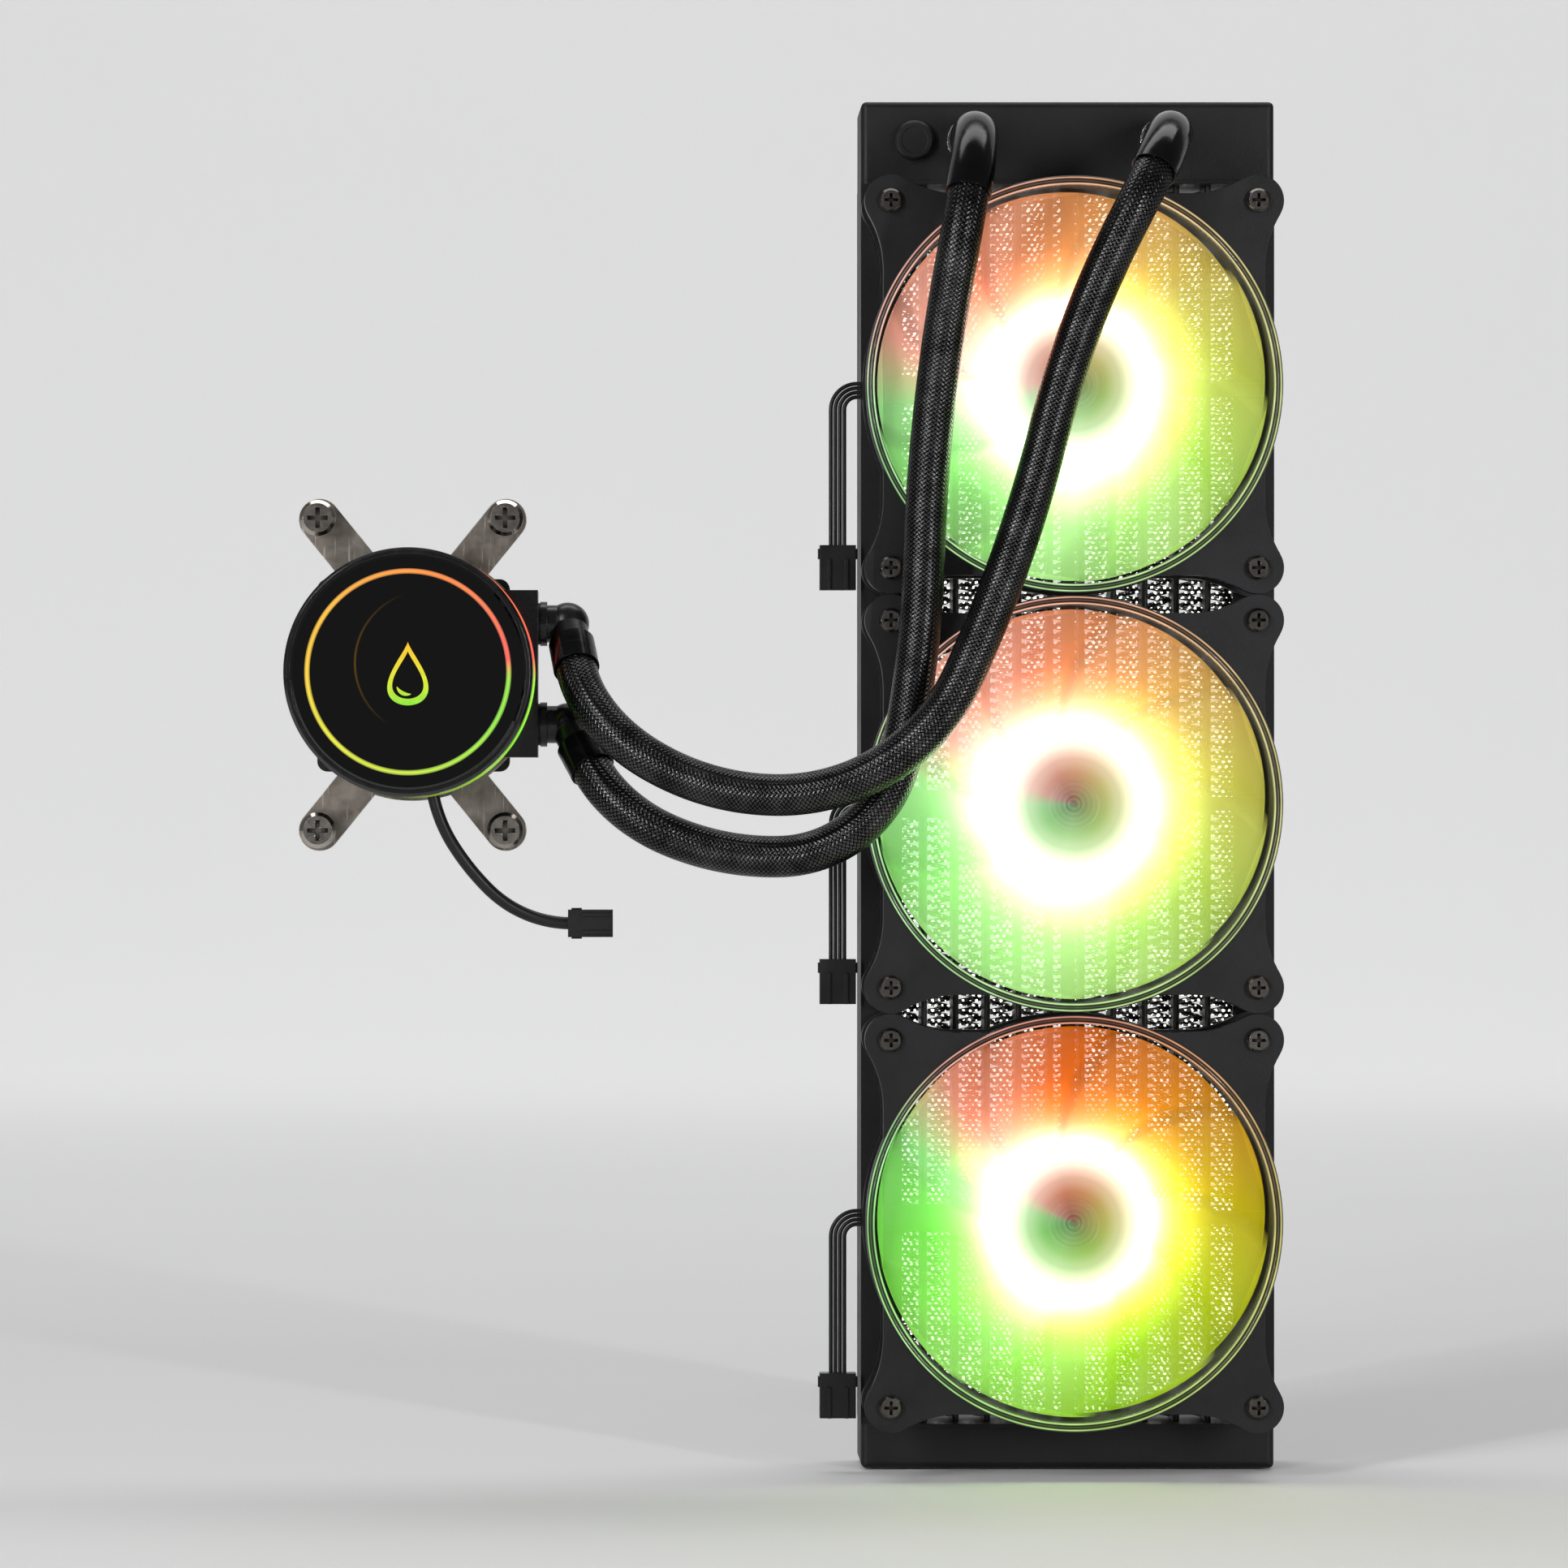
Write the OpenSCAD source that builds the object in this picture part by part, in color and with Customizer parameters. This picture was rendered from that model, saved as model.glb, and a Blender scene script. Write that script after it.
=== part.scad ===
// Closed-loop liquid cooling radiator: a finned core with two end tanks, three lit
// fans on its front face, two braided hoses, and the pump head that sits on a processor.
// Every sub-part is drawn in the "face frame" (x right, y up, z out of the fan side) and
// stand() turns that into the part's own frame (+X right, +Y into the mounting face, +Z up).

/* [Radiator] */
// Width across the rails
rad_w = 120; // [120:0.5:124]
// Depth from the mounting face to the fan face
rad_d = 27; // [27:0.5:32]
// Height of the tank that carries the two hose ports
port_tank_h = 24; // [21:0.5:30]
// Height of the plain tank at the other end
far_tank_h = 13; // [10:0.5:20]
// Number of flat coolant tubes
tube_count = 12; // [8:1:13]
// Thickness of one flat tube
tube_t = 1.8; // [1.6:0.1:2.2]
// Depth of one flat tube
tube_d = 16; // [12:0.5:17]
// Distance from one fin fold to the next
fin_step = 3; // [2.4:0.1:5]
// Distance of each hose port from the centre line
port_x = 28; // [24:0.5:32]
// Distance of the fill plug from the centre line
plug_x = 44.5; // [40:0.5:48]

/* [Fans] */
// Side of one square fan, and the pitch between fans
fan_size = 120; // [120:0.5:121]
// Depth of one fan
fan_d = 25; // [25:0.5:27]
// Distance between the screw holes of one fan
screw_pitch = 105; // [104.5:0.1:105.5]
// Number of blades on one impeller
blade_count = 9; // [5:1:9]
// Radius at the blade tips
blade_tip_r = 56; // [50:0.5:56.5]
// Radius of the impeller hub
hub_r = 18.6; // [18.4:0.1:19]

/* [Pump head] */
// Pump centre, to the left of the radiator's centre line
pump_left = 190; // [185:1:195]
// Pump centre, above the radiator's centre
pump_up = 37.4; // [34:0.2:40]
// Distance from the mounting plane to the cold plate's face
plate_z = 17; // [15:0.5:18]
// Radius of the pump's round cap
cap_r = 35.4; // [35:0.1:37]
// Radius of the light ring on the cap, at the middle of its width
ring_r = 28.6; // [24:0.2:30]
// Sideways distance between the four mounting screws
mount_w = 54; // [52:0.5:56]
// Up and down distance between the four mounting screws
mount_h = 90; // [88:0.5:94]
// Distance from one hose elbow to the other
elbow_pitch = 29; // [28:0.5:31]

/* [Hoses] */
// Outer radius of the rubber hose
hose_r = 5.5; // [5.3:0.1:5.6]
// Outer radius of the braided sleeve
sleeve_r = 6; // [5.9:0.1:6.2]
// Wall of the smooth collars at the hose ends
collar_t = 0.55; // [0.4:0.05:0.6]
// Share of the hoses' first bend that the collars cover
collar_share = 0.65; // [0.3:0.05:0.8]

/* [Hidden] */
$fn = 64;

gap = 0.05;            // clearance between pieces that are fixed together
slip = 0.02;           // clearance of a pressed or brazed piece
over = 1;              // how far a cutting solid runs past the face it cuts
short = 0.05;          // how far a swept arc stops short of the next one
band = 0.3;            // length of the band that joins two swept arcs
skin = 0.02;           // how far that band stands proud

// Radiator
core_l = 3 * fan_size;
header_t = 1.2;
rail_t = 1.2;
rail_lip = 12;         // width of a rail's front and rear lips
rail_hole_r = 1.5;
collar_r = 2.6;        // drawn collar round each rail hole
collar_h = 2;
tank_t = 1.5;
tank_r = 2;
tube_wall = 0.3;
tube_pitch = (rad_w - 2 * rail_t + tube_t) / (tube_count + 1);
fin_w = tube_pitch - tube_t;
fin_t = 0.15;
fin_folds = floor((core_l - 1) / fin_step);
core_z = (rad_d - tube_d) / 2;
tank_y = core_l / 2 + header_t;
port_y = core_l / 2 + port_tank_h / 2 + 0.5;
barb_bore_r = 3;
barb_flange_r = 7;
barb_flange_t = 1.5;
barb_l = 11.5;
barb_r = 4.2;
barb_tooth_r = 4.6;
barb_teeth = 3;
plug_r = 5.75;
plug_hole_r = 3;
plug_head_t = 2.2;
plug_seal_t = 0.6;

// Fans
fan_z = rad_d;
fan_y = [fan_size, 0, -fan_size];
flange_t = 4;
flange_r = fan_size / 2 - 0.3;
lobe_r = (fan_size - screw_pitch) / 2 - gap;
duct_r = blade_tip_r + 1;
duct_t = 1.6;
bell_r = flange_r - 0.5;
post_r = 3.9;
post_bore_r = 2.15;
strut_w = 4;
strut_t = 2.4;
base_r = 19;
base_t = 1.8;
ledge_r = 14;
board_z = 2.6;
board_t = 0.8;
board_r = 15.9;
led_r = 13.5;          // where the light chips sit
bearing_r = 4.2;
bearing_top = 19;
bush_r = 3;
shaft_r = 1.5;
shaft_run = 0.03;      // running clearance of a shaft in its bush
hub_wall = 2.2;
hub_bottom = 3.4;
hub_top = 23.5;
yoke_in = 15.2;
magnet_in = 13;
wire_r = 0.6;
wire_pitch = 1.3;
wire_count = 4;
wire_z = 0.75;
lead_drop = 46;        // length of a fan lead outside the frame
fan_screw_l = 30;
fan_screw_r = 1.45;
fan_head_r = 3.4;

// Pump head, heights above the mounting plane
pump = [-pump_left, pump_up, 0];
plate_w = 56;
plate_t = 3;
base_z = plate_z + plate_t;
arm_z = base_z + 8;
arm_t = 1.6;
body_z = arm_z;
body_top = body_z + 18;
body_r = 29;
side_ring_t = 2;
shell_z = body_top + side_ring_t;
shell_t = 2;
shell_top = shell_z + 18;
lens_z = shell_top - 2;
lens_top = shell_top + 0.6;
ring_w = 1.45;
chamber_r = 11;
chamber_z = body_z + 2;
chamber_top = body_top - 2;
port_block_x = 36.5;
port_block_w = 48;
port_z = plate_z + 21;
spigot_r = 3.9;
elbow_seal_t = 0.6;
elbow_x = 8.5;         // from the port block's face to the elbow's corner
elbow_out = 7.9;       // from the corner to the end of the elbow's body
elbow_r = 5.4;
arm_w = 12;
arm_screw_r = 33;
mount_r = 1.75;        // thread of the mounting screws
shank_r = 2;           // plain shank above the thread
mount_reach = 8;       // how far the mounting screws reach past the cold plate's face
mount_head_r = 5.2;
mount_head_h = 3.6;
clip_r = 3;            // ring that keeps each mounting screw in its arm
clip_drop = 6.2;
spring_l = 8;
spring_r = 3;
spring_wire_r = 0.45;
spring_turns = 4;
mount_at = [for (sy = [1, -1], sx = [-1, 1]) [sx * mount_w / 2, sy * mount_h / 2]];
elbow_corner = [for (s = [1, -1]) pump + [port_block_x + elbow_x, s * elbow_pitch / 2, port_z]];

// Hose routes: each station is a point and a heading
outlet_way = [unit([0.2, -1, 0.9]), unit([0.55, -1, 0.75])];
hose_start = 0.1;      // gap from a flange to the end of the hose
hose_in = 4.7;
stem_z = rad_d + barb_flange_t + hose_start;
left_route = [
    [[-port_x, port_y, stem_z], [0, 0, 1]],
    [[-port_x, port_y, stem_z + barb_l + 1], [0, 0, 1]],
    [[-43.5, 70, 62], unit([-0.03, -1, 0])],
    [[-84, -15, 57], unit([-1, -0.03, -0.1])],
    [elbow_corner[1] + (elbow_out + hose_start + 10) * outlet_way[1], -outlet_way[1]],
    [elbow_corner[1] + (elbow_out + hose_start) * outlet_way[1], -outlet_way[1]]
];
right_route = [
    [[port_x, port_y, stem_z], [0, 0, 1]],
    [[port_x, port_y, stem_z + barb_l + 2], [0, 0, 1]],
    [[-9, 105, 75], unit([-0.25, -1, 0.02])],
    [[-85, 2.5, 70], unit([-1, 0, -0.12])],
    [elbow_corner[0] + (elbow_out + hose_start + 10) * outlet_way[0], -outlet_way[0]],
    [elbow_corner[0] + (elbow_out + hose_start) * outlet_way[0], -outlet_way[0]]
];
lead_exit = 280;       // direction in which the pump lead leaves the body, in degrees
lead_r = 1.8;
lead_z = body_z + 9;
lead_way = [cos(lead_exit), sin(lead_exit), 0];
lead_route = [
    [pump + 25.2 * lead_way + [0, 0, lead_z], lead_way],
    [pump + 34 * lead_way + [0, 0, lead_z], lead_way],
    [pump + [22, -62, plate_z + 15], unit([0.7, -0.7, -0.1])],
    [pump + [46, -72, plate_z + 12], [1, 0, 0]]
];

// ---- Curves: a route is joined by pairs of circular arcs that share a tangent ----

function unit(v) = v / norm(v);

// The point where the two arcs between stations a and b meet
function meeting(a, b) =
    let (v = b[0] - a[0])
    let (s = a[1] + b[1])
    let (k = 2 * (1 - a[1] * b[1]))
    let (d = k < 0.000001 ? (v * v) / (4 * (v * b[1])) : (sqrt(pow(v * s, 2) + k * (v * v)) - v * s) / k)
    (a[0] + b[0] + d * (a[1] - b[1])) / 2;

// Heading at q of the arc that leaves p with heading t
function heading(p, t, q) =
    let (c = unit(q - p))
    2 * (t * c) * c - t;

// Every arc of a route, as [start, heading, end]
function arcs(route) = [
    for (i = [0 : len(route) - 2])
        let (a = route[i])
        let (b = route[i + 1])
        let (m = meeting(a, b))
        each [[a[0], a[1], m], [m, heading(a[0], a[1], m), b[0]]]
];

// The first part of an arc, as a share of its angle
function first_part(arc, share) =
    let (c = arc[2] - arc[0])
    let (side = c - (c * arc[1]) * arc[1])
    let (r = (c * c) / (2 * norm(side)))
    let (turn = share * 2 * atan2(norm(side), c * arc[1]))
    [arc[0], arc[1], arc[0] + r * (1 - cos(turn)) * unit(side) + r * sin(turn) * arc[1]];

function pick(list, from, to) = [for (i = [from : to]) list[i]];

// Sweeps a flat outline along one arc, stopping a little short of both its ends
module sweep(arc) {
    p = arc[0];
    t = arc[1];
    c = arc[2] - p;
    side = c - (c * t) * t;
    if (norm(side) < 0.001) {
        along(p, t) lift(short) linear_extrude(norm(c) - 2 * short) children();
    } else {
        n = unit(side);
        r = (c * c) / (2 * norm(side));
        b = cross(-n, t);
        o = p + r * n;
        turn = 2 * atan2(norm(side), c * t);
        skip = short / r * 180 / PI;
        multmatrix([[-n.x, t.x, b.x, o.x], [-n.y, t.y, b.y, o.y], [-n.z, t.z, b.z, o.z], [0, 0, 0, 1]])
            rotate(skip) rotate_extrude(angle = turn - 2 * skip) translate([r, 0]) children();
    }
}

// Places children with their z axis along t, at p
module along(p, t) {
    u = unit(abs(t.z) < 0.9 ? cross([0, 0, 1], t) : cross([1, 0, 0], t));
    v = cross(t, u);
    multmatrix([[u.x, v.x, t.x, p.x], [u.y, v.y, t.y, p.y], [u.z, v.z, t.z, p.z], [0, 0, 0, 1]]) children();
}

// Joins the swept arcs of a path: a thin band covers the short gap where two arcs meet
module tube(path, r_in, r_out) {
    for (arc = path) sweep(arc) washer(r_in, r_out);
    for (i = [1 : len(path) - 1]) along(path[i][0], path[i][1]) lift(-band / 2) {
        ring(r_in - skin, r_out + skin, band);
    }
}

module rod(path, r) {
    for (arc = path) sweep(arc) circle(r);
    for (i = [1 : len(path) - 1]) along(path[i][0], path[i][1]) lift(-band / 2) {
        cylinder(r = r + skin, h = band);
    }
}

// ---- Shared shapes ----

module stand() {
    rotate([90, 0, 0]) children();
}

module washer(r_in, r_out) {
    difference() {
        circle(r_out);
        circle(r_in);
    }
}

module ring(r_in, r_out, h) {
    linear_extrude(h) washer(r_in, r_out);
}

module lift(z) {
    translate([0, 0, z]) children();
}

module round_rect(w, h, r) {
    square([w - 2 * r, h], center = true);
    square([w, h - 2 * r], center = true);
    for (sx = [-1, 1], sy = [-1, 1]) translate([sx * (w / 2 - r), sy * (h / 2 - r)]) circle(r);
}

// A box with its edges rounded, centred
module soft_box(w, l, d, r) {
    intersection() {
        linear_extrude(d, center = true) round_rect(w, l, r);
        rotate([90, 0, 0]) linear_extrude(l, center = true) round_rect(w, d, r);
        rotate([0, 90, 0]) linear_extrude(w, center = true) round_rect(d, l, r);
    }
}

// A pan-head screw, head underside at z = 0 and shank pointing to -z
module pan_screw(r, l, head_r, head_h) {
    difference() {
        union() {
            cylinder(r = head_r, h = head_h * 0.6);
            lift(head_h * 0.6) cylinder(r1 = head_r, r2 = head_r * 0.8, h = head_h * 0.4);
            lift(0.5 - l) cylinder(r = r, h = l - 0.5);
            lift(-l) cylinder(r1 = r - 0.5, r2 = r, h = 0.5);
        }
        for (a = [0, 90]) rotate(a) lift(head_h * 0.85) {
            cube([head_r * 1.15, head_r * 0.26, head_h], center = true);
        }
    }
}

// A plug that points along +x: two guide ribs, a latch step and a row of square pin holes
module lead_plug(pins) {
    pitch = 2.54;
    w = pins * pitch + 0.3;
    l = 13;
    t = 5;
    difference() {
        union() {
            translate([0, -w / 2, -t / 2]) cube([l, w, t]);
            for (s = [-1, 1]) translate([4, s * pitch - 0.5, t / 2 - over]) cube([l - 4, 1, over + 0.7]);
            translate([1, -w / 2 - 0.5, -t / 2 + 1]) cube([3, w + 1, t - 2]);
        }
        for (k = [0 : pins - 1]) translate([l - 6, (k - (pins - 1) / 2) * pitch - 0.6, -0.6]) {
            cube([6 + over, 1.2, 1.2]);
        }
    }
}

// A barbed hose stem, from z = 0 upward, solid
module barb_stem() {
    tooth = barb_l / barb_teeth;
    cylinder(r = barb_r, h = barb_l);
    for (i = [0 : barb_teeth - 1]) lift(i * tooth + 0.6) {
        cylinder(r1 = barb_tooth_r, r2 = barb_r, h = tooth - 0.7);
    }
}

// ---- Radiator ----

module tube_outline(t, d) {
    square([t, d - t], center = true);
    for (s = [-1, 1]) translate([0, s * (d - t) / 2]) circle(t / 2);
}

module tubes_at() {
    for (i = [0 : tube_count - 1]) translate([(i - (tube_count - 1) / 2) * tube_pitch, 0, rad_d / 2]) {
        rotate([-90, 0, 0]) children();
    }
}

module core_tubes() color([0.16, 0.16, 0.17]) stand() {
    l = core_l + 2 * header_t + 4;
    tubes_at() lift(-l / 2) linear_extrude(l) difference() {
        tube_outline(tube_t, tube_d);
        tube_outline(tube_t - 2 * tube_wall, tube_d - 2 * tube_wall);
    }
}

// One folded strip of fin, between two tubes
module fin_strip() {
    low = -fin_folds * fin_step / 2;
    across = fin_t * norm([fin_step, fin_w]) / fin_step;
    edge = [for (i = [0 : fin_folds]) [(i % 2 == 0 ? 0 : fin_w - across) - fin_w / 2, low + i * fin_step]];
    back = [for (i = [fin_folds : -1 : 0]) edge[i] + [across, 0]];
    linear_extrude(tube_d) polygon(concat(edge, back));
}

module core_fins() color([0.20, 0.20, 0.21]) stand() {
    for (i = [0 : tube_count]) translate([(i - tube_count / 2) * tube_pitch, 0, core_z]) fin_strip();
}

module header_plate() color([0.12, 0.12, 0.13]) {
    difference() {
        translate([0, core_l / 2, rad_d / 2]) rotate([-90, 0, 0]) linear_extrude(header_t) {
            round_rect(rad_w, rad_d, tank_r);
        }
        tubes_at() linear_extrude(core_l) tube_outline(tube_t + 2 * slip, tube_d + 2 * slip);
    }
}

module header_top() stand() header_plate();

module header_bottom() stand() mirror([0, 1, 0]) header_plate();

// A tank, open towards -y, from y = 0 to y = h
module tank_shell(h) {
    difference() {
        translate([0, h / 2 - tank_r, rad_d / 2]) soft_box(rad_w, h + 2 * tank_r, rad_d, tank_r);
        translate([-rad_w, -4 * tank_r, -over]) cube([2 * rad_w, 4 * tank_r, rad_d + 2 * over]);
        translate([0, -over, rad_d / 2]) rotate([-90, 0, 0]) linear_extrude(h - tank_t + over) {
            round_rect(rad_w - 2 * tank_t, rad_d - 2 * tank_t, 1);
        }
    }
}

module tank_top() color([0.10, 0.10, 0.11]) stand() {
    difference() {
        translate([0, tank_y, 0]) tank_shell(port_tank_h - header_t);
        for (s = [-1, 1]) translate([s * port_x, port_y, rad_d / 2]) {
            cylinder(r = barb_r + gap, h = rad_d);
        }
        translate([-plug_x, port_y, rad_d / 2]) cylinder(r = plug_hole_r, h = rad_d);
    }
}

module tank_bottom() color([0.10, 0.10, 0.11]) stand() {
    mirror([0, 1, 0]) translate([0, tank_y, 0]) tank_shell(far_tank_h - header_t);
}

// The wall that parts the hot side of the port tank from the cold side
module tank_baffle() color([0.35, 0.35, 0.37]) stand() {
    h = port_tank_h - header_t - tank_t - 2 * gap;
    d = rad_d - 2 * tank_t - 2 * gap;
    translate([-header_t / 2, tank_y + gap, tank_t + gap]) cube([header_t, h, d]);
}

module rail_holes() {
    for (y = fan_y, s = [-1, 1]) translate([screw_pitch / 2, y + s * screw_pitch / 2, 0]) children();
}

module rail() color([0.11, 0.11, 0.12]) {
    difference() {
        union() {
            translate([rad_w / 2 - rail_t, -core_l / 2, 0]) cube([rail_t, core_l, rad_d]);
            for (z = [0, rad_d - rail_t]) translate([rad_w / 2 - rail_lip, -core_l / 2, z]) {
                cube([rail_lip, core_l, rail_t]);
            }
            rail_holes() for (z = [0, rad_d - rail_t - collar_h]) lift(z) {
                cylinder(r = collar_r, h = rail_t + collar_h);
            }
        }
        rail_holes() lift(-over) cylinder(r = rail_hole_r, h = rad_d + 2 * over);
    }
}

module rail_right() stand() rail();

module rail_left() stand() mirror([1, 0, 0]) rail();

module port_barbs() color([0.30, 0.31, 0.33]) stand() {
    for (s = [-1, 1]) translate([s * port_x, port_y, rad_d]) difference() {
        union() {
            lift(-2.5) cylinder(r = barb_r, h = 3);
            cylinder(r = barb_flange_r, h = barb_flange_t);
            lift(barb_flange_t) barb_stem();
        }
        lift(-5) cylinder(r = barb_bore_r, h = 30);
    }
}

module fill_plug() color([0.08, 0.08, 0.09]) stand() {
    translate([-plug_x, port_y, rad_d + plug_seal_t]) difference() {
        union() {
            cylinder(r = plug_r, h = plug_head_t * 0.7);
            lift(plug_head_t * 0.7) cylinder(r1 = plug_r, r2 = plug_r - 0.7, h = plug_head_t * 0.3);
            lift(-3.5) cylinder(r = plug_hole_r - gap, h = 4);
        }
        lift(plug_head_t - 0.3) cylinder(r = plug_r - 1.9, h = 1);
    }
}

module fill_plug_seal() color([0.05, 0.05, 0.05]) stand() {
    translate([-plug_x, port_y, rad_d]) ring(plug_hole_r + gap, plug_r - 0.5, plug_seal_t);
}

// ---- Fans ----

module at_fan(i) {
    stand() translate([0, fan_y[i], fan_z]) children();
}

module fan_corners() {
    for (sx = [-1, 1], sy = [-1, 1]) translate([sx, sy] * screw_pitch / 2) children();
}

// Outline of a flange: a round rim, four round ears, and an S-curved web out to each ear
module fan_outline() {
    web = 33;
    web_r = 30.4;
    ear = screw_pitch / 2;
    far = web_r + 54.6;
    circle(flange_r);
    for (a = [0 : 90 : 270]) rotate(a) {
        translate([ear, ear]) circle(lobe_r);
        difference() {
            polygon([
                [0, 0], [24, 54.6], [web, 54.6], [web, 58], [48.6, 58.9],
                [ear, ear], [58.9, 48.6], [58, web], [54.6, web], [54.6, 24]
            ]);
            translate([web, far]) circle(web_r);
            translate([far, web]) circle(web_r);
        }
    }
}

module fan_shell() {
    difference() {
        union() {
            for (z = [0, fan_d - flange_t]) lift(z) linear_extrude(flange_t) fan_outline();
            cylinder(r = duct_r + duct_t, h = fan_d);
            fan_corners() cylinder(r = post_r, h = fan_d);
        }
        lift(-over) cylinder(r = duct_r, h = fan_d + 2 * over);
        lift(fan_d - flange_t) cylinder(r1 = duct_r, r2 = bell_r, h = flange_t);
        fan_corners() lift(-over) cylinder(r = post_bore_r, h = fan_d + 2 * over);
    }
}

module fan_base() {
    difference() {
        union() {
            cylinder(r = base_r, h = base_t);
            lift(base_t) ring(ledge_r, base_r, board_z - base_t);
            cylinder(r = bearing_r, h = bearing_top);
            for (a = [0 : 90 : 270]) rotate(a) translate([base_r - 2, -strut_w / 2, 0]) {
                cube([duct_r - base_r + 2.5, strut_w, strut_t]);
            }
            translate([-duct_r - 0.5, -strut_w, 0]) cube([duct_r - base_r + 2.5, 2 * strut_w, strut_t]);
        }
        lift(board_z) cylinder(r = bush_r + slip, h = bearing_top);
    }
}

module fan_frame(i) at_fan(i) color([0.13, 0.13, 0.14]) {
    channel = wire_count * wire_pitch + 2 * gap;
    difference() {
        union() {
            fan_shell();
            fan_base();
        }
        translate([-fan_size / 2 - over, -channel / 2, -over]) {
            cube([fan_size / 2 - 12 + over, channel, wire_z + wire_r + gap + over]);
        }
        translate([-15.5, -channel / 2, -over]) cube([3.5, channel, board_z + 2 * over]);
    }
}

// One blade: a strip of a curved sheet, cut to a swept outline
module blade() {
    bend_r = 50;
    half_t = 0.8;
    intersection() {
        translate([0, 17.35, -28.1]) rotate([0, 90, 0]) ring(bend_r - half_t, bend_r + half_t, 60);
        linear_extrude(fan_d) intersection() {
            washer(hub_r - 0.6, blade_tip_r);
            difference() {
                translate([33, -32]) circle(45);
                translate([20, -62]) circle(55);
            }
        }
    }
}

module impeller(i) at_fan(i) color([0.93, 0.95, 0.92]) {
    top_t = 1.7;
    boss = 2.2;
    difference() {
        union() {
            lift(hub_bottom) ring(hub_r - hub_wall, hub_r, hub_top - top_t - hub_bottom);
            lift(hub_top - top_t) cylinder(r = hub_r, h = top_t - 1);
            lift(hub_top - 1) cylinder(r1 = hub_r, r2 = hub_r - 1, h = 1);
            lift(hub_top - top_t - boss) cylinder(r = shaft_r + 1.9, h = boss);
            for (a = [0 : blade_count - 1]) rotate(a * 360 / blade_count) blade();
        }
        lift(hub_top - top_t - boss - over) cylinder(r = shaft_r + slip, h = boss + over + 0.5);
    }
}

module rotor_magnet(i) at_fan(i) {
    yoke_out = hub_r - hub_wall - slip;
    color([0.55, 0.55, 0.57]) {
        lift(8) ring(yoke_in, yoke_out, 13.3);
        lift(20.3) ring(shaft_r + 2.1, yoke_in + gap, 1);
    }
    color([0.2, 0.2, 0.22]) lift(8.5) ring(magnet_in, yoke_in - slip, 11);
}

module rotor_shaft(i) at_fan(i) color([0.75, 0.76, 0.78]) {
    lift(board_z + 0.1) cylinder(r = shaft_r, h = 19.4);
}

module fan_bushes() {
    for (i = [0 : 2]) at_fan(i) color([0.72, 0.5, 0.25]) {
        lift(3) ring(shaft_r + shaft_run, bush_r, 15.5);
    }
}

module fan_stators() {
    arm = 3;
    wind = 1.6;
    for (i = [0 : 2]) at_fan(i) {
        color([0.5, 0.5, 0.52]) lift(10) linear_extrude(6) {
            washer(bearing_r + gap, 7);
            for (a = [0, 90]) rotate(a) difference() {
                square([23, arm], center = true);
                circle(6);
            }
            intersection() {
                washer(10.8, 12.4);
                for (a = [0, 90]) rotate(a) square([26, 11], center = true);
            }
        }
        color([0.75, 0.38, 0.18]) for (a = [0 : 90 : 270]) rotate(a) translate([8.8, 0, 13]) difference() {
            cube([2.6, arm + 2 * wind, 6 + 2 * wind], center = true);
            cube([5, arm + 2 * gap, 6 + 2 * gap], center = true);
        }
    }
}

module fan_boards() {
    for (i = [0 : 2]) at_fan(i) {
        color([0.08, 0.25, 0.13]) lift(board_z) ring(bearing_r + 0.2, board_r, board_t);
        color([0.95, 0.95, 0.85]) for (a = [22.5 : 45 : 337.5]) rotate(a) {
            translate([led_r - 1, -1, board_z + board_t]) cube([2, 2, 0.8]);
        }
    }
}

module fan_screws() color([0.30, 0.30, 0.32]) {
    for (i = [0 : 2]) at_fan(i) lift(fan_d) fan_corners() {
        pan_screw(fan_screw_r, fan_screw_l, fan_head_r, 2.2);
    }
}

// Four flat-laid wires that leave the fan at its left side and run down to a plug
module fan_leads() color([0.06, 0.06, 0.07]) {
    bend = 3;
    side_x = fan_size / 2 + 1.2;
    for (i = [0 : 2]) at_fan(i) {
        for (k = [0 : wire_count - 1]) lift(wire_z) {
            y = (k - (wire_count - 1) / 2) * wire_pitch;
            r = bend + (y + wire_count * wire_pitch / 2);
            translate([-side_x, y, 0]) rotate([0, 90, 0]) cylinder(r = wire_r, h = side_x - 13.6, $fn = 24);
            translate([-side_x, y - r, 0]) rotate(90) rotate_extrude(angle = 90) {
                translate([r, 0]) circle(wire_r, $fn = 24);
            }
            translate([-side_x - r, y - r, 0]) rotate([90, 0, 0]) {
                cylinder(r = wire_r, h = lead_drop + y - r, $fn = 24);
            }
        }
        translate([-side_x - bend - wire_count * wire_pitch / 2, -lead_drop + 1, wire_z + 0.5]) {
            rotate(-90) lead_plug(wire_count);
        }
    }
}

// ---- Hoses ----

module hose(route) color([0.05, 0.05, 0.055]) stand() {
    tube(arcs(route), hose_in, hose_r);
}

module sleeve(route) color([0.09, 0.09, 0.10]) stand() {
    tube(arcs(route), hose_r + 2 * gap, sleeve_r);
}

module collar(path) {
    tube(path, sleeve_r + 2 * gap, sleeve_r + 2 * gap + collar_t);
}

module radiator_collars() color([0.07, 0.07, 0.075]) stand() {
    for (route = [left_route, right_route]) {
        path = arcs(route);
        collar([path[0], path[1], first_part(path[2], collar_share)]);
    }
}

module pump_collars() color([0.07, 0.07, 0.075]) stand() {
    for (route = [left_route, right_route]) {
        path = arcs(route);
        collar(pick(path, len(path) - 2, len(path) - 1));
    }
}

// ---- Pump head ----

module at_pump() {
    stand() translate(pump) children();
}

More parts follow.
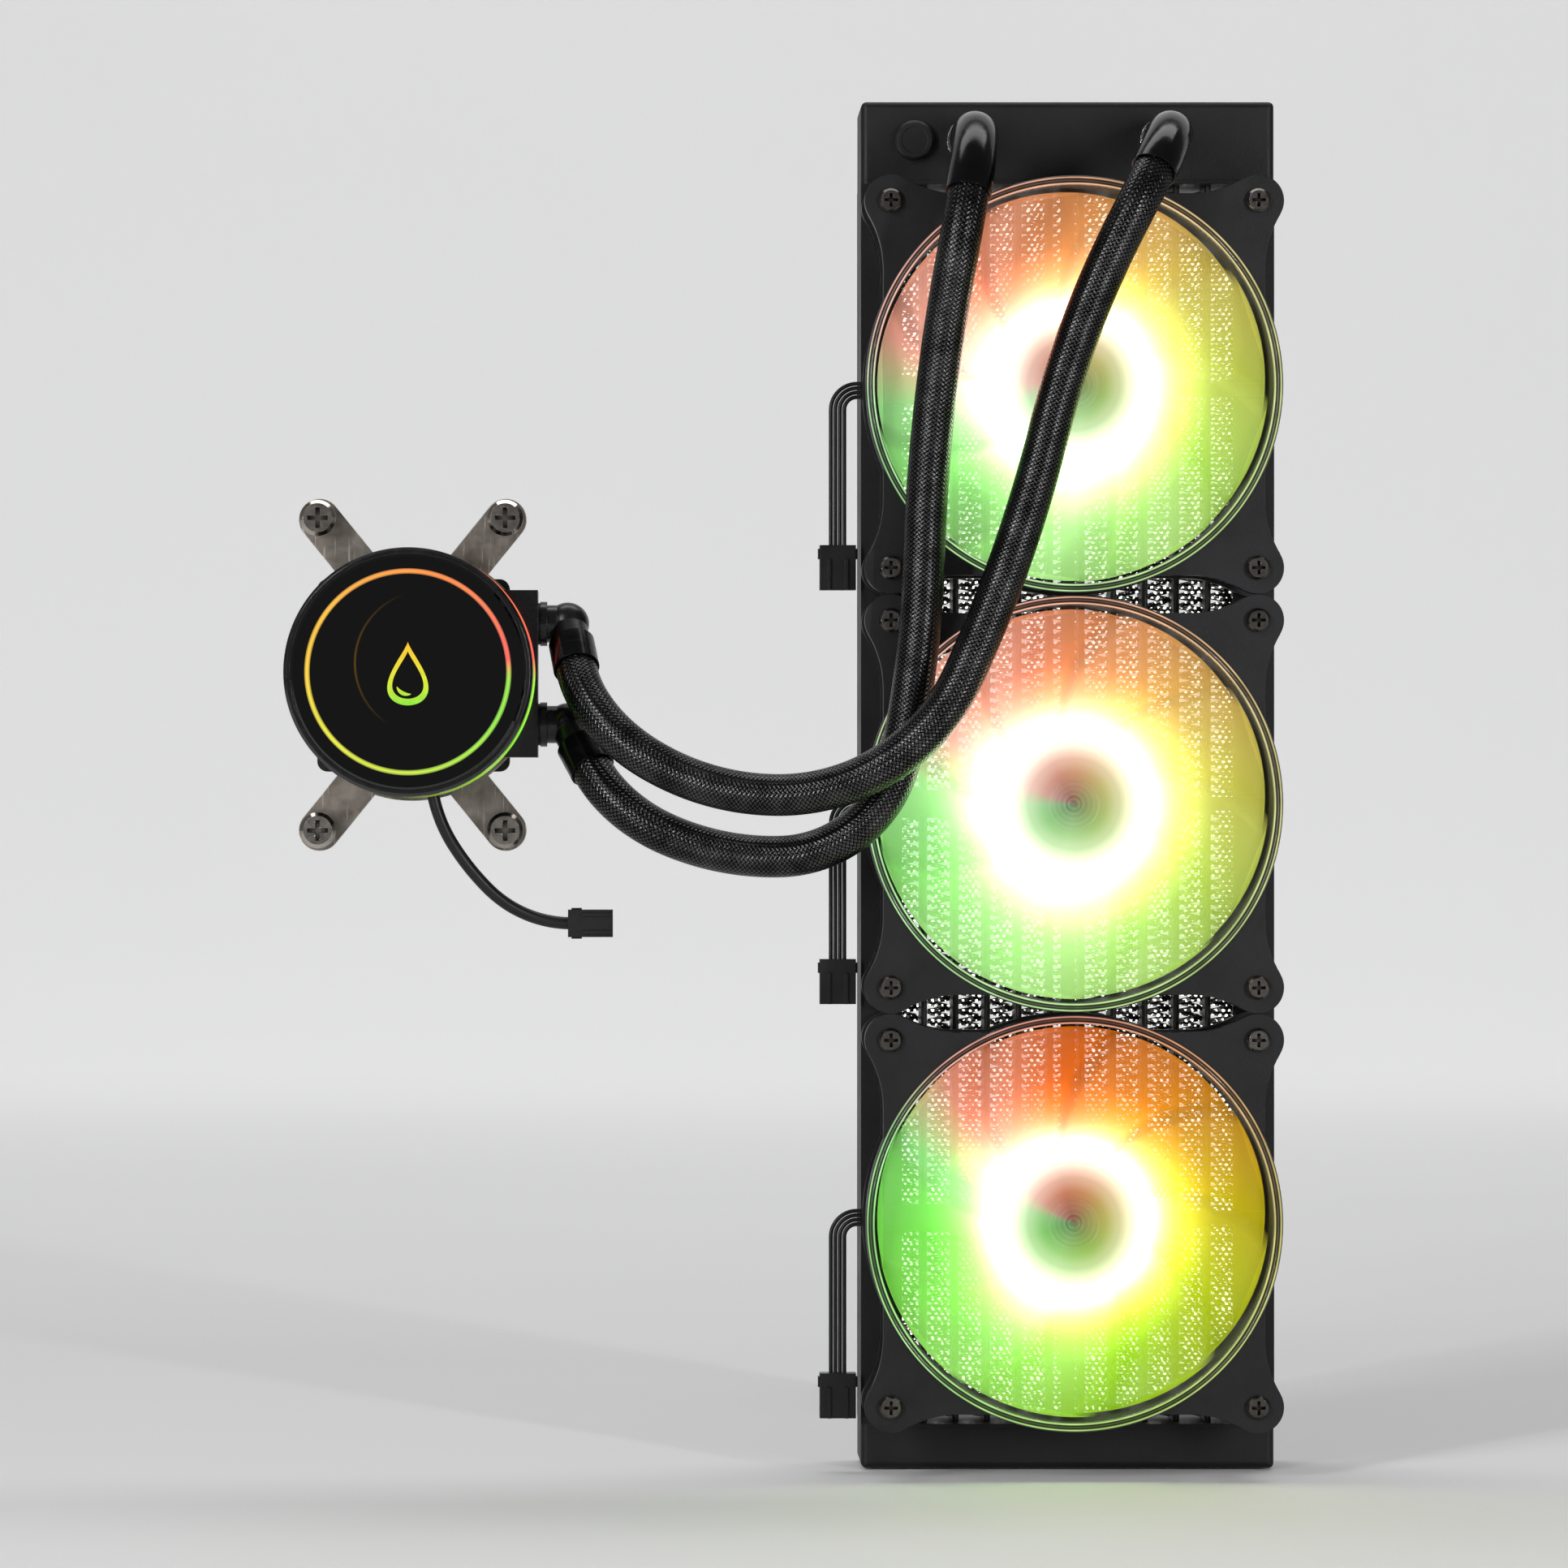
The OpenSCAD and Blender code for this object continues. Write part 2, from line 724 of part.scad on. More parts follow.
module plate_screws_at() {
    s = plate_w / 2 - 3.5;
    for (x = [-s, 0, s], y = [-s, 0, s]) if (x != 0 || y != 0) translate([x, y, 0]) children();
}

module cold_plate() color([0.78, 0.46, 0.28]) at_pump() {
    field = 26;
    count = 26;
    difference() {
        lift(plate_z) linear_extrude(plate_t) round_rect(plate_w, plate_w, 3);
        plate_screws_at() {
            lift(plate_z - over) cylinder(r = 2.3, h = 1.6 + over);
            lift(plate_z - over) cylinder(r = 1.3, h = plate_t + 2 * over);
        }
    }
    for (i = [0 : count - 1]) translate([(i + 0.5) * field / count - field / 2 - 0.2, -field / 2, base_z]) {
        cube([0.4, field, 2.4]);
    }
}

module cold_plate_seal() color([0.05, 0.05, 0.05]) at_pump() {
    lift(base_z) ring(20.6, 22.4, 0.95);
}

module cold_plate_screws() color([0.6, 0.6, 0.62]) at_pump() {
    plate_screws_at() {
        lift(plate_z + 0.2) cylinder(r = 2.2, h = 1.4);
        lift(plate_z + 1) cylinder(r = 1.2, h = 6.4);
    }
}

module arm_screws_at() {
    for (a = [60, 120, 240, 300]) rotate(a) translate([arm_screw_r, 0, 0]) children();
}

module pump_base() color([0.09, 0.09, 0.10]) at_pump() {
    difference() {
        union() {
            lift(base_z) linear_extrude(4) {
                round_rect(plate_w, plate_w, 3);
                circle(31);
            }
            lift(base_z + 4) cylinder(r = 35.5, h = 4);
        }
        lift(base_z - over) cylinder(r = 19.5, h = 4 + over);
        lift(base_z - over) ring(20.5, 22.5, 1 + over);
        lift(base_z) cylinder(r = 4, h = 8 + over);
        translate([0, -elbow_pitch / 2, base_z]) cylinder(r = barb_bore_r, h = 8 + over);
        plate_screws_at() lift(base_z - over) cylinder(r = 1.25, h = 4.6 + over);
        arm_screws_at() lift(arm_z - 3.5) cylinder(r = 1.5, h = 3.5 + over);
    }
}

// A bore along +x from the point p to the outside of the port block
module port_bore(p, r) {
    translate(p) rotate([0, 90, 0]) cylinder(r = r, h = port_block_x - p.x + over);
}

module pump_body() color([0.10, 0.10, 0.11]) at_pump() {
    half = elbow_pitch / 2;
    difference() {
        union() {
            lift(body_z) cylinder(r = body_r, h = body_top - body_z);
            lift(chamber_top) cylinder(r = cap_r, h = body_top - chamber_top);
            translate([20, -port_block_w / 2, body_z + 2.5]) {
                cube([port_block_x - 20, port_block_w, body_top - body_z - 3]);
            }
            for (a = [90, 210, 330]) rotate(a) translate([25, 0, body_top]) cylinder(r = 2, h = 9);
        }
        lift(chamber_z) cylinder(r = chamber_r, h = chamber_top - chamber_z);
        lift(body_z + 0.5) cylinder(r = shaft_r + slip, h = body_top - body_z - 1.5);
        for (a = [60, 180, 300]) rotate(a) translate([6, 0, body_z - over]) cylinder(r = 2.2, h = 2 + 2 * over);
        for (s = [-1, 1]) {
            port_bore([0, s * half, port_z], barb_bore_r);
            port_bore([port_block_x - 7.5, s * half, port_z], spigot_r + gap);
        }
        translate([4, 6, port_z]) rotate([-90, 0, 0]) cylinder(r = 2.5, h = half - 6);
        translate([0, -half, body_z - over]) cylinder(r = barb_bore_r, h = port_z - body_z + over);
        along([0, 0, lead_z] + 25 * lead_way, lead_way) cylinder(r = lead_r + gap, h = 6);
    }
}

module pump_rotor() color([0.85, 0.86, 0.84]) at_pump() {
    disc_z = chamber_z + 0.6;
    difference() {
        union() {
            lift(disc_z) cylinder(r = 9.8, h = 1.2);
            for (a = [0 : 60 : 300]) rotate(a) translate([2.5, -0.5, disc_z + 1]) cube([6.8, 1, 3]);
            lift(disc_z + 3.9) cylinder(r = 7.5, h = 8.5);
            lift(disc_z) cylinder(r = 3.2, h = 5);
        }
        lift(disc_z - over) cylinder(r = shaft_r + shaft_run, h = 20);
    }
}

module pump_shaft() color([0.9, 0.9, 0.88]) at_pump() {
    lift(body_z + 0.6) cylinder(r = shaft_r, h = body_top - body_z - 1.7);
}

module pump_stator() at_pump() {
    color([0.5, 0.5, 0.52]) {
        lift(body_top + 4.5) ring(4, 21, 1.8);
        for (a = [0 : 60 : 300]) rotate(a) translate([12.5, 0, body_top + gap]) cylinder(r = 2.6, h = 4.5);
    }
    color([0.75, 0.38, 0.18]) for (a = [0 : 60 : 300]) rotate(a) translate([12.5, 0, body_top + 0.5]) {
        ring(2.6 + gap, 5, 3.8);
    }
}

module pump_board() at_pump() {
    z = body_top + 9;
    color([0.08, 0.25, 0.13]) lift(z) ring(2, 27.5, 1.4);
    color([0.95, 0.95, 0.85]) for (a = [0 : 30 : 330]) rotate(a) translate([24, -1.2, z + 1.4]) {
        cube([2.4, 2.4, 1]);
    }
}

module pump_shell() color([0.10, 0.10, 0.11]) at_pump() {
    inner = cap_r - shell_t;
    ledge = inner - 2;
    rotate_extrude() polygon([
        [30, shell_z], [cap_r, shell_z], [cap_r, shell_top - 0.8], [cap_r - 0.8, shell_top],
        [inner, shell_top], [inner, lens_z], [ledge, lens_z], [ledge, lens_z - 1.5],
        [inner, lens_z - 1.5], [inner, shell_z + 1.5], [30, shell_z + 1.5]
    ]);
}

module side_light_ring() color([0.85, 0.9, 0.3]) at_pump() {
    lift(body_top) ring(30, cap_r + 0.4, side_ring_t);
}

module face_light_ring() color([0.95, 0.75, 0.25]) at_pump() {
    lift(lens_top - 1.25) ring(ring_r - ring_w / 2, ring_r + ring_w / 2, 1.35);
}

module cap_lens() color([0.03, 0.03, 0.035]) at_pump() {
    r = cap_r - shell_t - gap;
    groove_in = ring_r - ring_w / 2 - gap;
    groove_out = ring_r + ring_w / 2 + gap;
    floor_z = lens_top - 1.3;
    rotate_extrude() polygon([
        [0, lens_z], [r, lens_z], [r, lens_top - 0.6], [r - 0.6, lens_top],
        [groove_out, lens_top], [groove_out, floor_z], [groove_in, floor_z],
        [groove_in, lens_top], [0, lens_top]
    ]);
}

// An elbow: a spigot that plugs into the port block, a round corner and a barbed outlet
module elbow(i) color([0.11, 0.11, 0.12]) stand() {
    corner = elbow_corner[i];
    flange_x = elbow_x - elbow_seal_t;
    in_r = 2.9;
    out_r = 2.6;
    difference() {
        union() {
            translate(corner) sphere(elbow_r + 0.8);
            translate(corner + [-flange_x, 0, 0]) rotate([0, 90, 0]) {
                cylinder(r = elbow_r + 1, h = 2);
                cylinder(r = elbow_r, h = flange_x);
                lift(-6.5) cylinder(r = spigot_r, h = 7);
            }
            along(corner, outlet_way[i]) {
                cylinder(r = elbow_r, h = elbow_out);
                lift(elbow_out) barb_stem();
            }
        }
        translate(corner + [-20, 0, 0]) rotate([0, 90, 0]) cylinder(r = in_r, h = 20 + in_r);
        along(corner, outlet_way[i]) cylinder(r = out_r, h = 30);
    }
}

module elbow_seals() color([0.05, 0.05, 0.05]) stand() {
    for (c = elbow_corner) translate(c - [elbow_x, 0, 0]) rotate([0, 90, 0]) {
        ring(spigot_r + gap, 6, elbow_seal_t);
    }
}

// Half of the mounting bracket: half a ring and two arms with round ends
module bracket() color([0.42, 0.43, 0.45]) {
    difference() {
        linear_extrude(arm_t) difference() {
            union() {
                intersection() {
                    circle(36.5);
                    translate([-50, 0.4]) square([100, 50]);
                }
                for (s = [-1, 1]) arm_outline([s * mount_w / 2, mount_h / 2], [s * 14.5, 29.6]);
            }
            circle(body_r + 0.5);
        }
        for (s = [-1, 1]) translate([s * mount_w / 2, mount_h / 2, -over]) {
            cylinder(r = shank_r + 0.25, h = arm_t + 2 * over);
        }
        lift(-over) arm_screws_at() cylinder(r = 1.6, h = arm_t + 2 * over);
    }
}

module arm_outline(a, b) {
    v = b - a;
    for (p = [a, b]) translate(p) circle(arm_w / 2);
    translate(a) rotate(atan2(v.y, v.x)) translate([0, -arm_w / 2]) square([norm(v), arm_w]);
}

module bracket_upper() at_pump() lift(arm_z) bracket();

module bracket_lower() at_pump() lift(arm_z) mirror([0, 1, 0]) bracket();

module bracket_screws() color([0.6, 0.6, 0.62]) at_pump() {
    arm_screws_at() lift(arm_z + arm_t) pan_screw(1.45, 4.6, 2.7, 1.8);
}

// A captive mounting screw: head, shank, and the clip that keeps it in the bracket
module mount_screw(i) color([0.66, 0.66, 0.68]) at_pump() {
    head_z = arm_z + arm_t + spring_l;
    thread_top = plate_z - 1;
    tip_z = plate_z - mount_reach;
    tip_h = 0.5;
    translate([mount_at[i].x, mount_at[i].y, 0]) {
        lift(head_z) pan_screw(shank_r, head_z - thread_top, mount_head_r, mount_head_h);
        lift(tip_z) cylinder(r1 = mount_r - tip_h, r2 = mount_r, h = tip_h);
        lift(tip_z + tip_h) cylinder(r = mount_r, h = thread_top - tip_z);
        lift(arm_z - clip_drop) cylinder(r = clip_r, h = 0.8);
    }
}

function coil_station(k, per_turn, rise) =
    let (a = k * 360 / per_turn)
    [[spring_r * cos(a), spring_r * sin(a), k * rise / per_turn],
        unit([-sin(a), cos(a), rise / (2 * PI * spring_r)])];

module mount_springs() color([0.75, 0.76, 0.78]) at_pump() {
    per_turn = 3;
    room = spring_l - 2 * spring_wire_r - 2 * gap;
    rise = room / spring_turns;
    coil = [for (k = [0 : per_turn * spring_turns]) coil_station(k, per_turn, rise)];
    for (m = mount_at) translate([m.x, m.y, arm_z + arm_t + spring_wire_r + gap]) {
        rod(arcs(coil), spring_wire_r);
    }
}

module pump_lead() color([0.06, 0.06, 0.065]) stand() {
    end = lead_route[len(lead_route) - 1][0];
    rod(arcs(lead_route), lead_r);
    translate(end - [1, 0, 0]) lead_plug(3);
}

core_tubes();
core_fins();
header_top();
header_bottom();
tank_top();
tank_bottom();
tank_baffle();
rail_left();
rail_right();
port_barbs();
fill_plug();
fill_plug_seal();
fan_frame(0);  // fan_frame_top
fan_frame(1);  // fan_frame_middle
fan_frame(2);  // fan_frame_bottom
impeller(0);  // impeller_top
impeller(1);  // impeller_middle
impeller(2);  // impeller_bottom
rotor_magnet(0);  // rotor_magnet_top
rotor_magnet(1);  // rotor_magnet_middle
rotor_magnet(2);  // rotor_magnet_bottom
rotor_shaft(0);  // rotor_shaft_top
rotor_shaft(1);  // rotor_shaft_middle
rotor_shaft(2);  // rotor_shaft_bottom
fan_bushes();
fan_stators();
fan_boards();
fan_screws();
fan_leads();
hose(left_route);  // hose_left
hose(right_route);  // hose_right
sleeve(left_route);  // sleeve_left
sleeve(right_route);  // sleeve_right
radiator_collars();
pump_collars();
cold_plate();
cold_plate_seal();
cold_plate_screws();
pump_base();
pump_body();
pump_rotor();
pump_shaft();
pump_stator();
pump_board();
pump_shell();
side_light_ring();
face_light_ring();
cap_lens();
elbow(0);  // elbow_upper
elbow(1);  // elbow_lower
elbow_seals();
bracket_upper();
bracket_lower();
bracket_screws();
mount_springs();
mount_screw(0);  // mount_screw_1
mount_screw(1);  // mount_screw_2
mount_screw(2);  // mount_screw_3
mount_screw(3);  // mount_screw_4
pump_lead();
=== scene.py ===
"""Looks of the closed-loop liquid cooling radiator: lit fans, braided hoses, pump head, studio.

Shapes are worked out in millimetres in a face frame (x right, y up, z out of the fan side), as the
CAD source does. face_to_row() turns them into the frame's metres.
"""

import math

import bpy
import numpy as np
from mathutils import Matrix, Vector


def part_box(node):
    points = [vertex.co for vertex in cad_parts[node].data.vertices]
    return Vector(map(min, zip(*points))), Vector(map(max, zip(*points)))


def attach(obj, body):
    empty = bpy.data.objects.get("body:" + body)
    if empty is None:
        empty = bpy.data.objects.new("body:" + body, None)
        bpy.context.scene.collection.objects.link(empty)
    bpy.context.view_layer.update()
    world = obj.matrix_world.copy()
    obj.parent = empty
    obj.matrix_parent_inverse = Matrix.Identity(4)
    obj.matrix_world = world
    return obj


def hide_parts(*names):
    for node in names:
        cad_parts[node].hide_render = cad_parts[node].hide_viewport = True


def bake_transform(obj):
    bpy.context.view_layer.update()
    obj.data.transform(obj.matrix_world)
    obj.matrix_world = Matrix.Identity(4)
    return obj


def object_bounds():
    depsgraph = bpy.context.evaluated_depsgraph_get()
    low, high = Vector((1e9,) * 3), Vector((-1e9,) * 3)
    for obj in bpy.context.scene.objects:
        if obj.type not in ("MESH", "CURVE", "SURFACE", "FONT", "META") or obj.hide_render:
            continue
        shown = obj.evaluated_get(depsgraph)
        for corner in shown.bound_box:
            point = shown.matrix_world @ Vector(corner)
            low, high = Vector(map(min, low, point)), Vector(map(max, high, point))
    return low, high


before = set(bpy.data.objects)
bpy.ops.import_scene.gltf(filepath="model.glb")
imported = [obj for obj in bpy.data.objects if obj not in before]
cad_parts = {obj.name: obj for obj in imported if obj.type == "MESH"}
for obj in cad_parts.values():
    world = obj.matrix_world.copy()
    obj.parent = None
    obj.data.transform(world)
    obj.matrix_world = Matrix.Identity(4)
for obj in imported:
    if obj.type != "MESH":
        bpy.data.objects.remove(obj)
cad_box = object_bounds()

MM = 0.001
FANS = ("top", "middle", "bottom")

# Shared with the CAD source; lengths are in millimetres
hub_r = 18.6
tip_r = 56.0
blades = 9
face_ring_r = 28.6


# ---- Places, read from the frame ----

def face_to_row(points):
    """Face-frame millimetres to row-frame metres."""
    p = np.asarray(points, float).reshape(-1, 3)
    return np.stack([p[:, 0], -p[:, 2], p[:, 1]], axis=1) * MM


def face_box(node):
    """Lowest and highest corner of a CAD node, in face-frame millimetres."""
    lo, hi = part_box(node)
    return np.array([lo.x, lo.z, -hi.y]) / MM, np.array([hi.x, hi.z, -lo.y]) / MM


def face_middle(node):
    low, high = face_box(node)
    return (low + high) / 2


fan_centre = {name: face_middle("rotor_shaft_" + name)[:2] for name in FANS}
fan_back = face_box("fan_frame_middle")[0][2]
fan_front = face_box("fan_frame_middle")[1][2]
hub_front = face_box("impeller_middle")[1][2]
hub_back = face_box("impeller_middle")[0][2]
pump_centre = face_middle("cap_lens")[:2]
lens_top = face_box("cap_lens")[1][2]


# ---- Meshes ----

def grid_faces(rows, columns, wrap_rows=False, wrap_columns=True):
    """Quads between the points of a grid that is stored row by row."""
    i = np.arange(rows if wrap_rows else rows - 1)
    j = np.arange(columns if wrap_columns else columns - 1)
    i, j = (a.ravel() for a in np.meshgrid(i, j, indexing="ij"))
    i2, j2 = (i + 1) % rows, (j + 1) % columns
    corners = [i * columns + j, i * columns + j2, i2 * columns + j2, i2 * columns + j]
    return np.stack(corners, axis=1).tolist()


def make_piece(name, points, faces, material, smooth=True):
    """A mesh object from face-frame points."""
    mesh = bpy.data.meshes.new(name)
    mesh.from_pydata(face_to_row(points).tolist(), [], faces)
    mesh.polygons.foreach_set("use_smooth", [smooth] * len(mesh.polygons))
    mesh.materials.append(material)
    piece = bpy.data.objects.new(name, mesh)
    bpy.context.scene.collection.objects.link(piece)
    return piece


def joined(parts):
    """Joins (points, faces) pairs into one."""
    points, faces, base = [], [], 0
    for p, f in parts:
        points.append(np.asarray(p, float))
        faces += [[k + base for k in face] for face in f]
        base += len(p)
    return np.concatenate(points), faces


def lathe(profile, centre, segments, closed=False):
    """Turns (radius, height) points about the face z axis; an open profile starts and ends on the axis."""
    profile = np.asarray(profile, float)
    turn = np.linspace(0, 2 * math.pi, segments, endpoint=False)
    body = profile if closed else profile[1:-1]
    r, z = body[:, 0][:, None], body[:, 1][:, None]
    points = np.stack([r * np.cos(turn), r * np.sin(turn), z + 0 * turn], axis=2).reshape(-1, 3)
    faces = grid_faces(len(body), segments, wrap_rows=closed)
    if not closed:
        first, last, end = len(points), len(points) + 1, (len(body) - 1) * segments
        points = np.vstack([points, [0, 0, profile[0][1]], [0, 0, profile[-1][1]]])
        for k in range(segments):
            k2 = (k + 1) % segments
            faces.append([first, k2, k])
            faces.append([last, end + k, end + k2])
    return points + np.array([centre[0], centre[1], 0]), faces


def rounded(corners, radius, steps, closed=False):
    """Rounds the corners of a polyline of 2-D points with short curves."""
    pts = [np.asarray(c, float) for c in corners]
    if closed:
        triples = [(pts[k - 1], pts[k], pts[(k + 1) % len(pts)]) for k in range(len(pts))]
    else:
        triples = list(zip(pts, pts[1:], pts[2:]))
    out = [] if closed else [pts[0]]
    for a, b, c in triples:
        near = min(radius, np.linalg.norm(a - b) / 2, np.linalg.norm(c - b) / 2)
        p = b + unit(a - b) * near
        q = b + unit(c - b) * near
        for t in np.linspace(0, 1, steps + 1):
            out.append((1 - t) ** 2 * p + 2 * t * (1 - t) * b + t * t * q)
    return out if closed else out + [pts[-1]]


def unit(v):
    v = np.asarray(v, float)
    return v / np.linalg.norm(v)


def unit_rows(v):
    return v / np.linalg.norm(v, axis=1)[:, None]


# ---- Node materials ----

def colour(text):
    """An #rrggbb colour as linear RGBA."""
    channels = [int(text[k:k + 2], 16) / 255 for k in (1, 3, 5)]
    return (*[c / 12.92 if c <= 0.04045 else ((c + 0.055) / 1.055) ** 2.4 for c in channels], 1.0)


class Look:
    """A node material that is being put together round its Principled shader."""

    def __init__(self, name):
        self.material = bpy.data.materials.new(name)
        self.material.use_nodes = True
        self.tree = self.material.node_tree
        self.shader = self.tree.nodes["Principled BSDF"]
        self.place = self.node("ShaderNodeTexCoord").outputs["Object"]
        self.normal = None

    def feed(self, socket, value):
        if isinstance(value, bpy.types.NodeSocket):
            self.tree.links.new(value, socket)
        else:
            socket.default_value = value

    def node(self, kind, inputs=None, **settings):
        node = self.tree.nodes.new(kind)
        for key, value in settings.items():
            setattr(node, key, value)
        for key, value in (inputs or {}).items():
            self.feed(node.inputs[key], value)
        return node

    def set(self, **inputs):
        for key, value in inputs.items():
            self.feed(self.shader.inputs[key.replace("_", " ")], value)

    def math(self, operation, *values):
        node = self.node("ShaderNodeMath", operation=operation)
        for socket, value in zip(node.inputs, values):
            self.feed(socket, value)
        return node.outputs[0]

    def plus(self, a, b):
        return self.math("ADD", a, b)

    def minus(self, a, b):
        return self.math("SUBTRACT", a, b)

    def times(self, a, b):
        return self.math("MULTIPLY", a, b)

    def length(self, x, y):
        return self.math("SQRT", self.plus(self.times(x, x), self.times(y, y)))

    def span(self, value, low, high, out_low=0.0, out_high=1.0):
        inputs = {"Value": value, "From Min": low, "From Max": high, "To Min": out_low, "To Max": out_high}
        return self.node("ShaderNodeMapRange", inputs).outputs[0]

    def noise(self, scale, detail=3, stretch=None):
        place = self.place
        if stretch:
            place = self.node("ShaderNodeMapping", {"Vector": place, "Scale": stretch}).outputs[0]
        inputs = {"Vector": place, "Scale": scale, "Detail": detail}
        return self.node("ShaderNodeTexNoise", inputs).outputs[0]

    def mix(self, share, a, b):
        node = self.node("ShaderNodeMix", data_type="RGBA")
        for index, value in ((0, share), (6, a), (7, b)):
            self.feed(node.inputs[index], value)
        return node.outputs[2]

    def ramp(self, value, stops):
        node = self.node("ShaderNodeValToRGB", {"Fac": value})
        line = node.color_ramp
        for place, tone in stops[1:-1]:
            line.elements.new(place).color = colour(tone)
        for element, (place, tone) in ((line.elements[0], stops[0]), (line.elements[-1], stops[-1])):
            element.position = place
            element.color = colour(tone)
        return node.outputs[0]

    def soft_edges(self, radius):
        """Rounds the shading of sharp edges, and returns how near an edge a point is."""
        bevel = self.node("ShaderNodeBevel", {"Radius": radius * MM}, samples=4).outputs[0]
        flat = self.node("ShaderNodeNewGeometry").outputs["Normal"]
        dot = self.node("ShaderNodeVectorMath", {0: bevel, 1: flat}, operation="DOT_PRODUCT")
        self.normal = bevel
        return self.span(dot.outputs["Value"], 0.995, 0.80)

    def bump(self, height, depth):
        """Lets a height from 0 to 1 stand out by depth millimetres in the shading."""
        inputs = {"Height": height, "Distance": depth * MM, "Strength": 1.0}
        if self.normal is not None:
            inputs["Normal"] = self.normal
        self.normal = self.node("ShaderNodeBump", inputs).outputs[0]
        self.set(Normal=self.normal)

    def where(self):
        """The X, Y and Z outputs of the shaded point's place, in the row frame's metres."""
        position = self.node("ShaderNodeNewGeometry").outputs["Position"]
        return self.node("ShaderNodeSeparateXYZ", {"Vector": position}).outputs

    def around(self, centre):
        """Turn (0 and 1 at the left, 0.25 below, 0.5 right, 0.75 above) and radius in mm about a centre."""
        place = self.where()
        x = self.minus(self.times(place["X"], 1 / MM), float(centre[0]))
        y = self.minus(self.times(place["Z"], 1 / MM), float(centre[1]))
        turn = self.plus(self.math("DIVIDE", self.math("ARCTAN2", y, x), 2 * math.pi), 0.5)
        return turn, self.length(x, y)

    def bell(self, value, middle, width):
        """1 at the middle, falling to 0 over about twice the width."""
        off = self.math("DIVIDE", self.minus(value, middle), width)
        return self.math("EXPONENT", self.times(self.times(off, off), -1.0))


def coated(name, tone, tone_2, rough, metal=0.0, grain=1400, depth=0.02, edge=0.25, worn=None, wear=0.3,
           coat=0.0, blotch=70, stretch=None, hollow_shade=0.0, shine=0.5):
    """Moulded plastic, paint or metal: blotched colour, grain, soft edges, a little wear on them, and
    painted shade in hollows.
    depth of the grain, edge rounding and the reach of the painted shade in hollows are in millimetres."""
    look = Look(name)
    near_edge = look.soft_edges(edge)
    broad = look.noise(blotch, 5)
    fine = look.noise(grain, 2, stretch)
    base = look.mix(look.span(broad, 0.3, 0.7), colour(tone), colour(tone_2))
    if worn:
        scuffed = look.times(near_edge, look.span(look.noise(260, 4), 0.42, 0.62))
        base = look.mix(look.times(scuffed, wear), base, colour(worn))
    # Painted shade: ambient occlusion darkens the base colour in hollows and recesses.
    if hollow_shade:
        sky = look.node("ShaderNodeAmbientOcclusion", {"Distance": hollow_shade * MM}, samples=4)
        base = look.mix(look.span(sky.outputs["AO"], 0.35, 0.95), colour("#050505"), base)
    smear = look.plus(look.span(broad, 0.3, 0.7, -0.05, 0.05), look.span(fine, 0.2, 0.8, -0.06, 0.06))
    look.set(Base_Color=base, Roughness=look.plus(smear, rough), Metallic=metal, Coat_Weight=coat)
    look.set(Coat_Roughness=0.08, Specular_IOR_Level=shine)
    look.bump(fine, depth)
    return look


def scratched(look, tone, share):
    """Adds fine light scratches that run many ways."""
    lines = None
    for angle in (0.3, 1.2, 2.2):
        turned = look.node("ShaderNodeMapping", {"Vector": look.place, "Rotation": (0, angle, 0),
                                                 "Scale": (1400, 60, 60)}).outputs[0]
        streak = look.node("ShaderNodeTexNoise", {"Vector": turned, "Scale": 1.0, "Detail": 2}).outputs[0]
        mark = look.span(streak, 0.66, 0.74)
        lines = mark if lines is None else look.math("MAXIMUM", lines, mark)
    source = look.shader.inputs["Base Color"].links[0].from_socket
    look.set(Base_Color=look.mix(look.times(lines, share), source, colour(tone)))
    return look


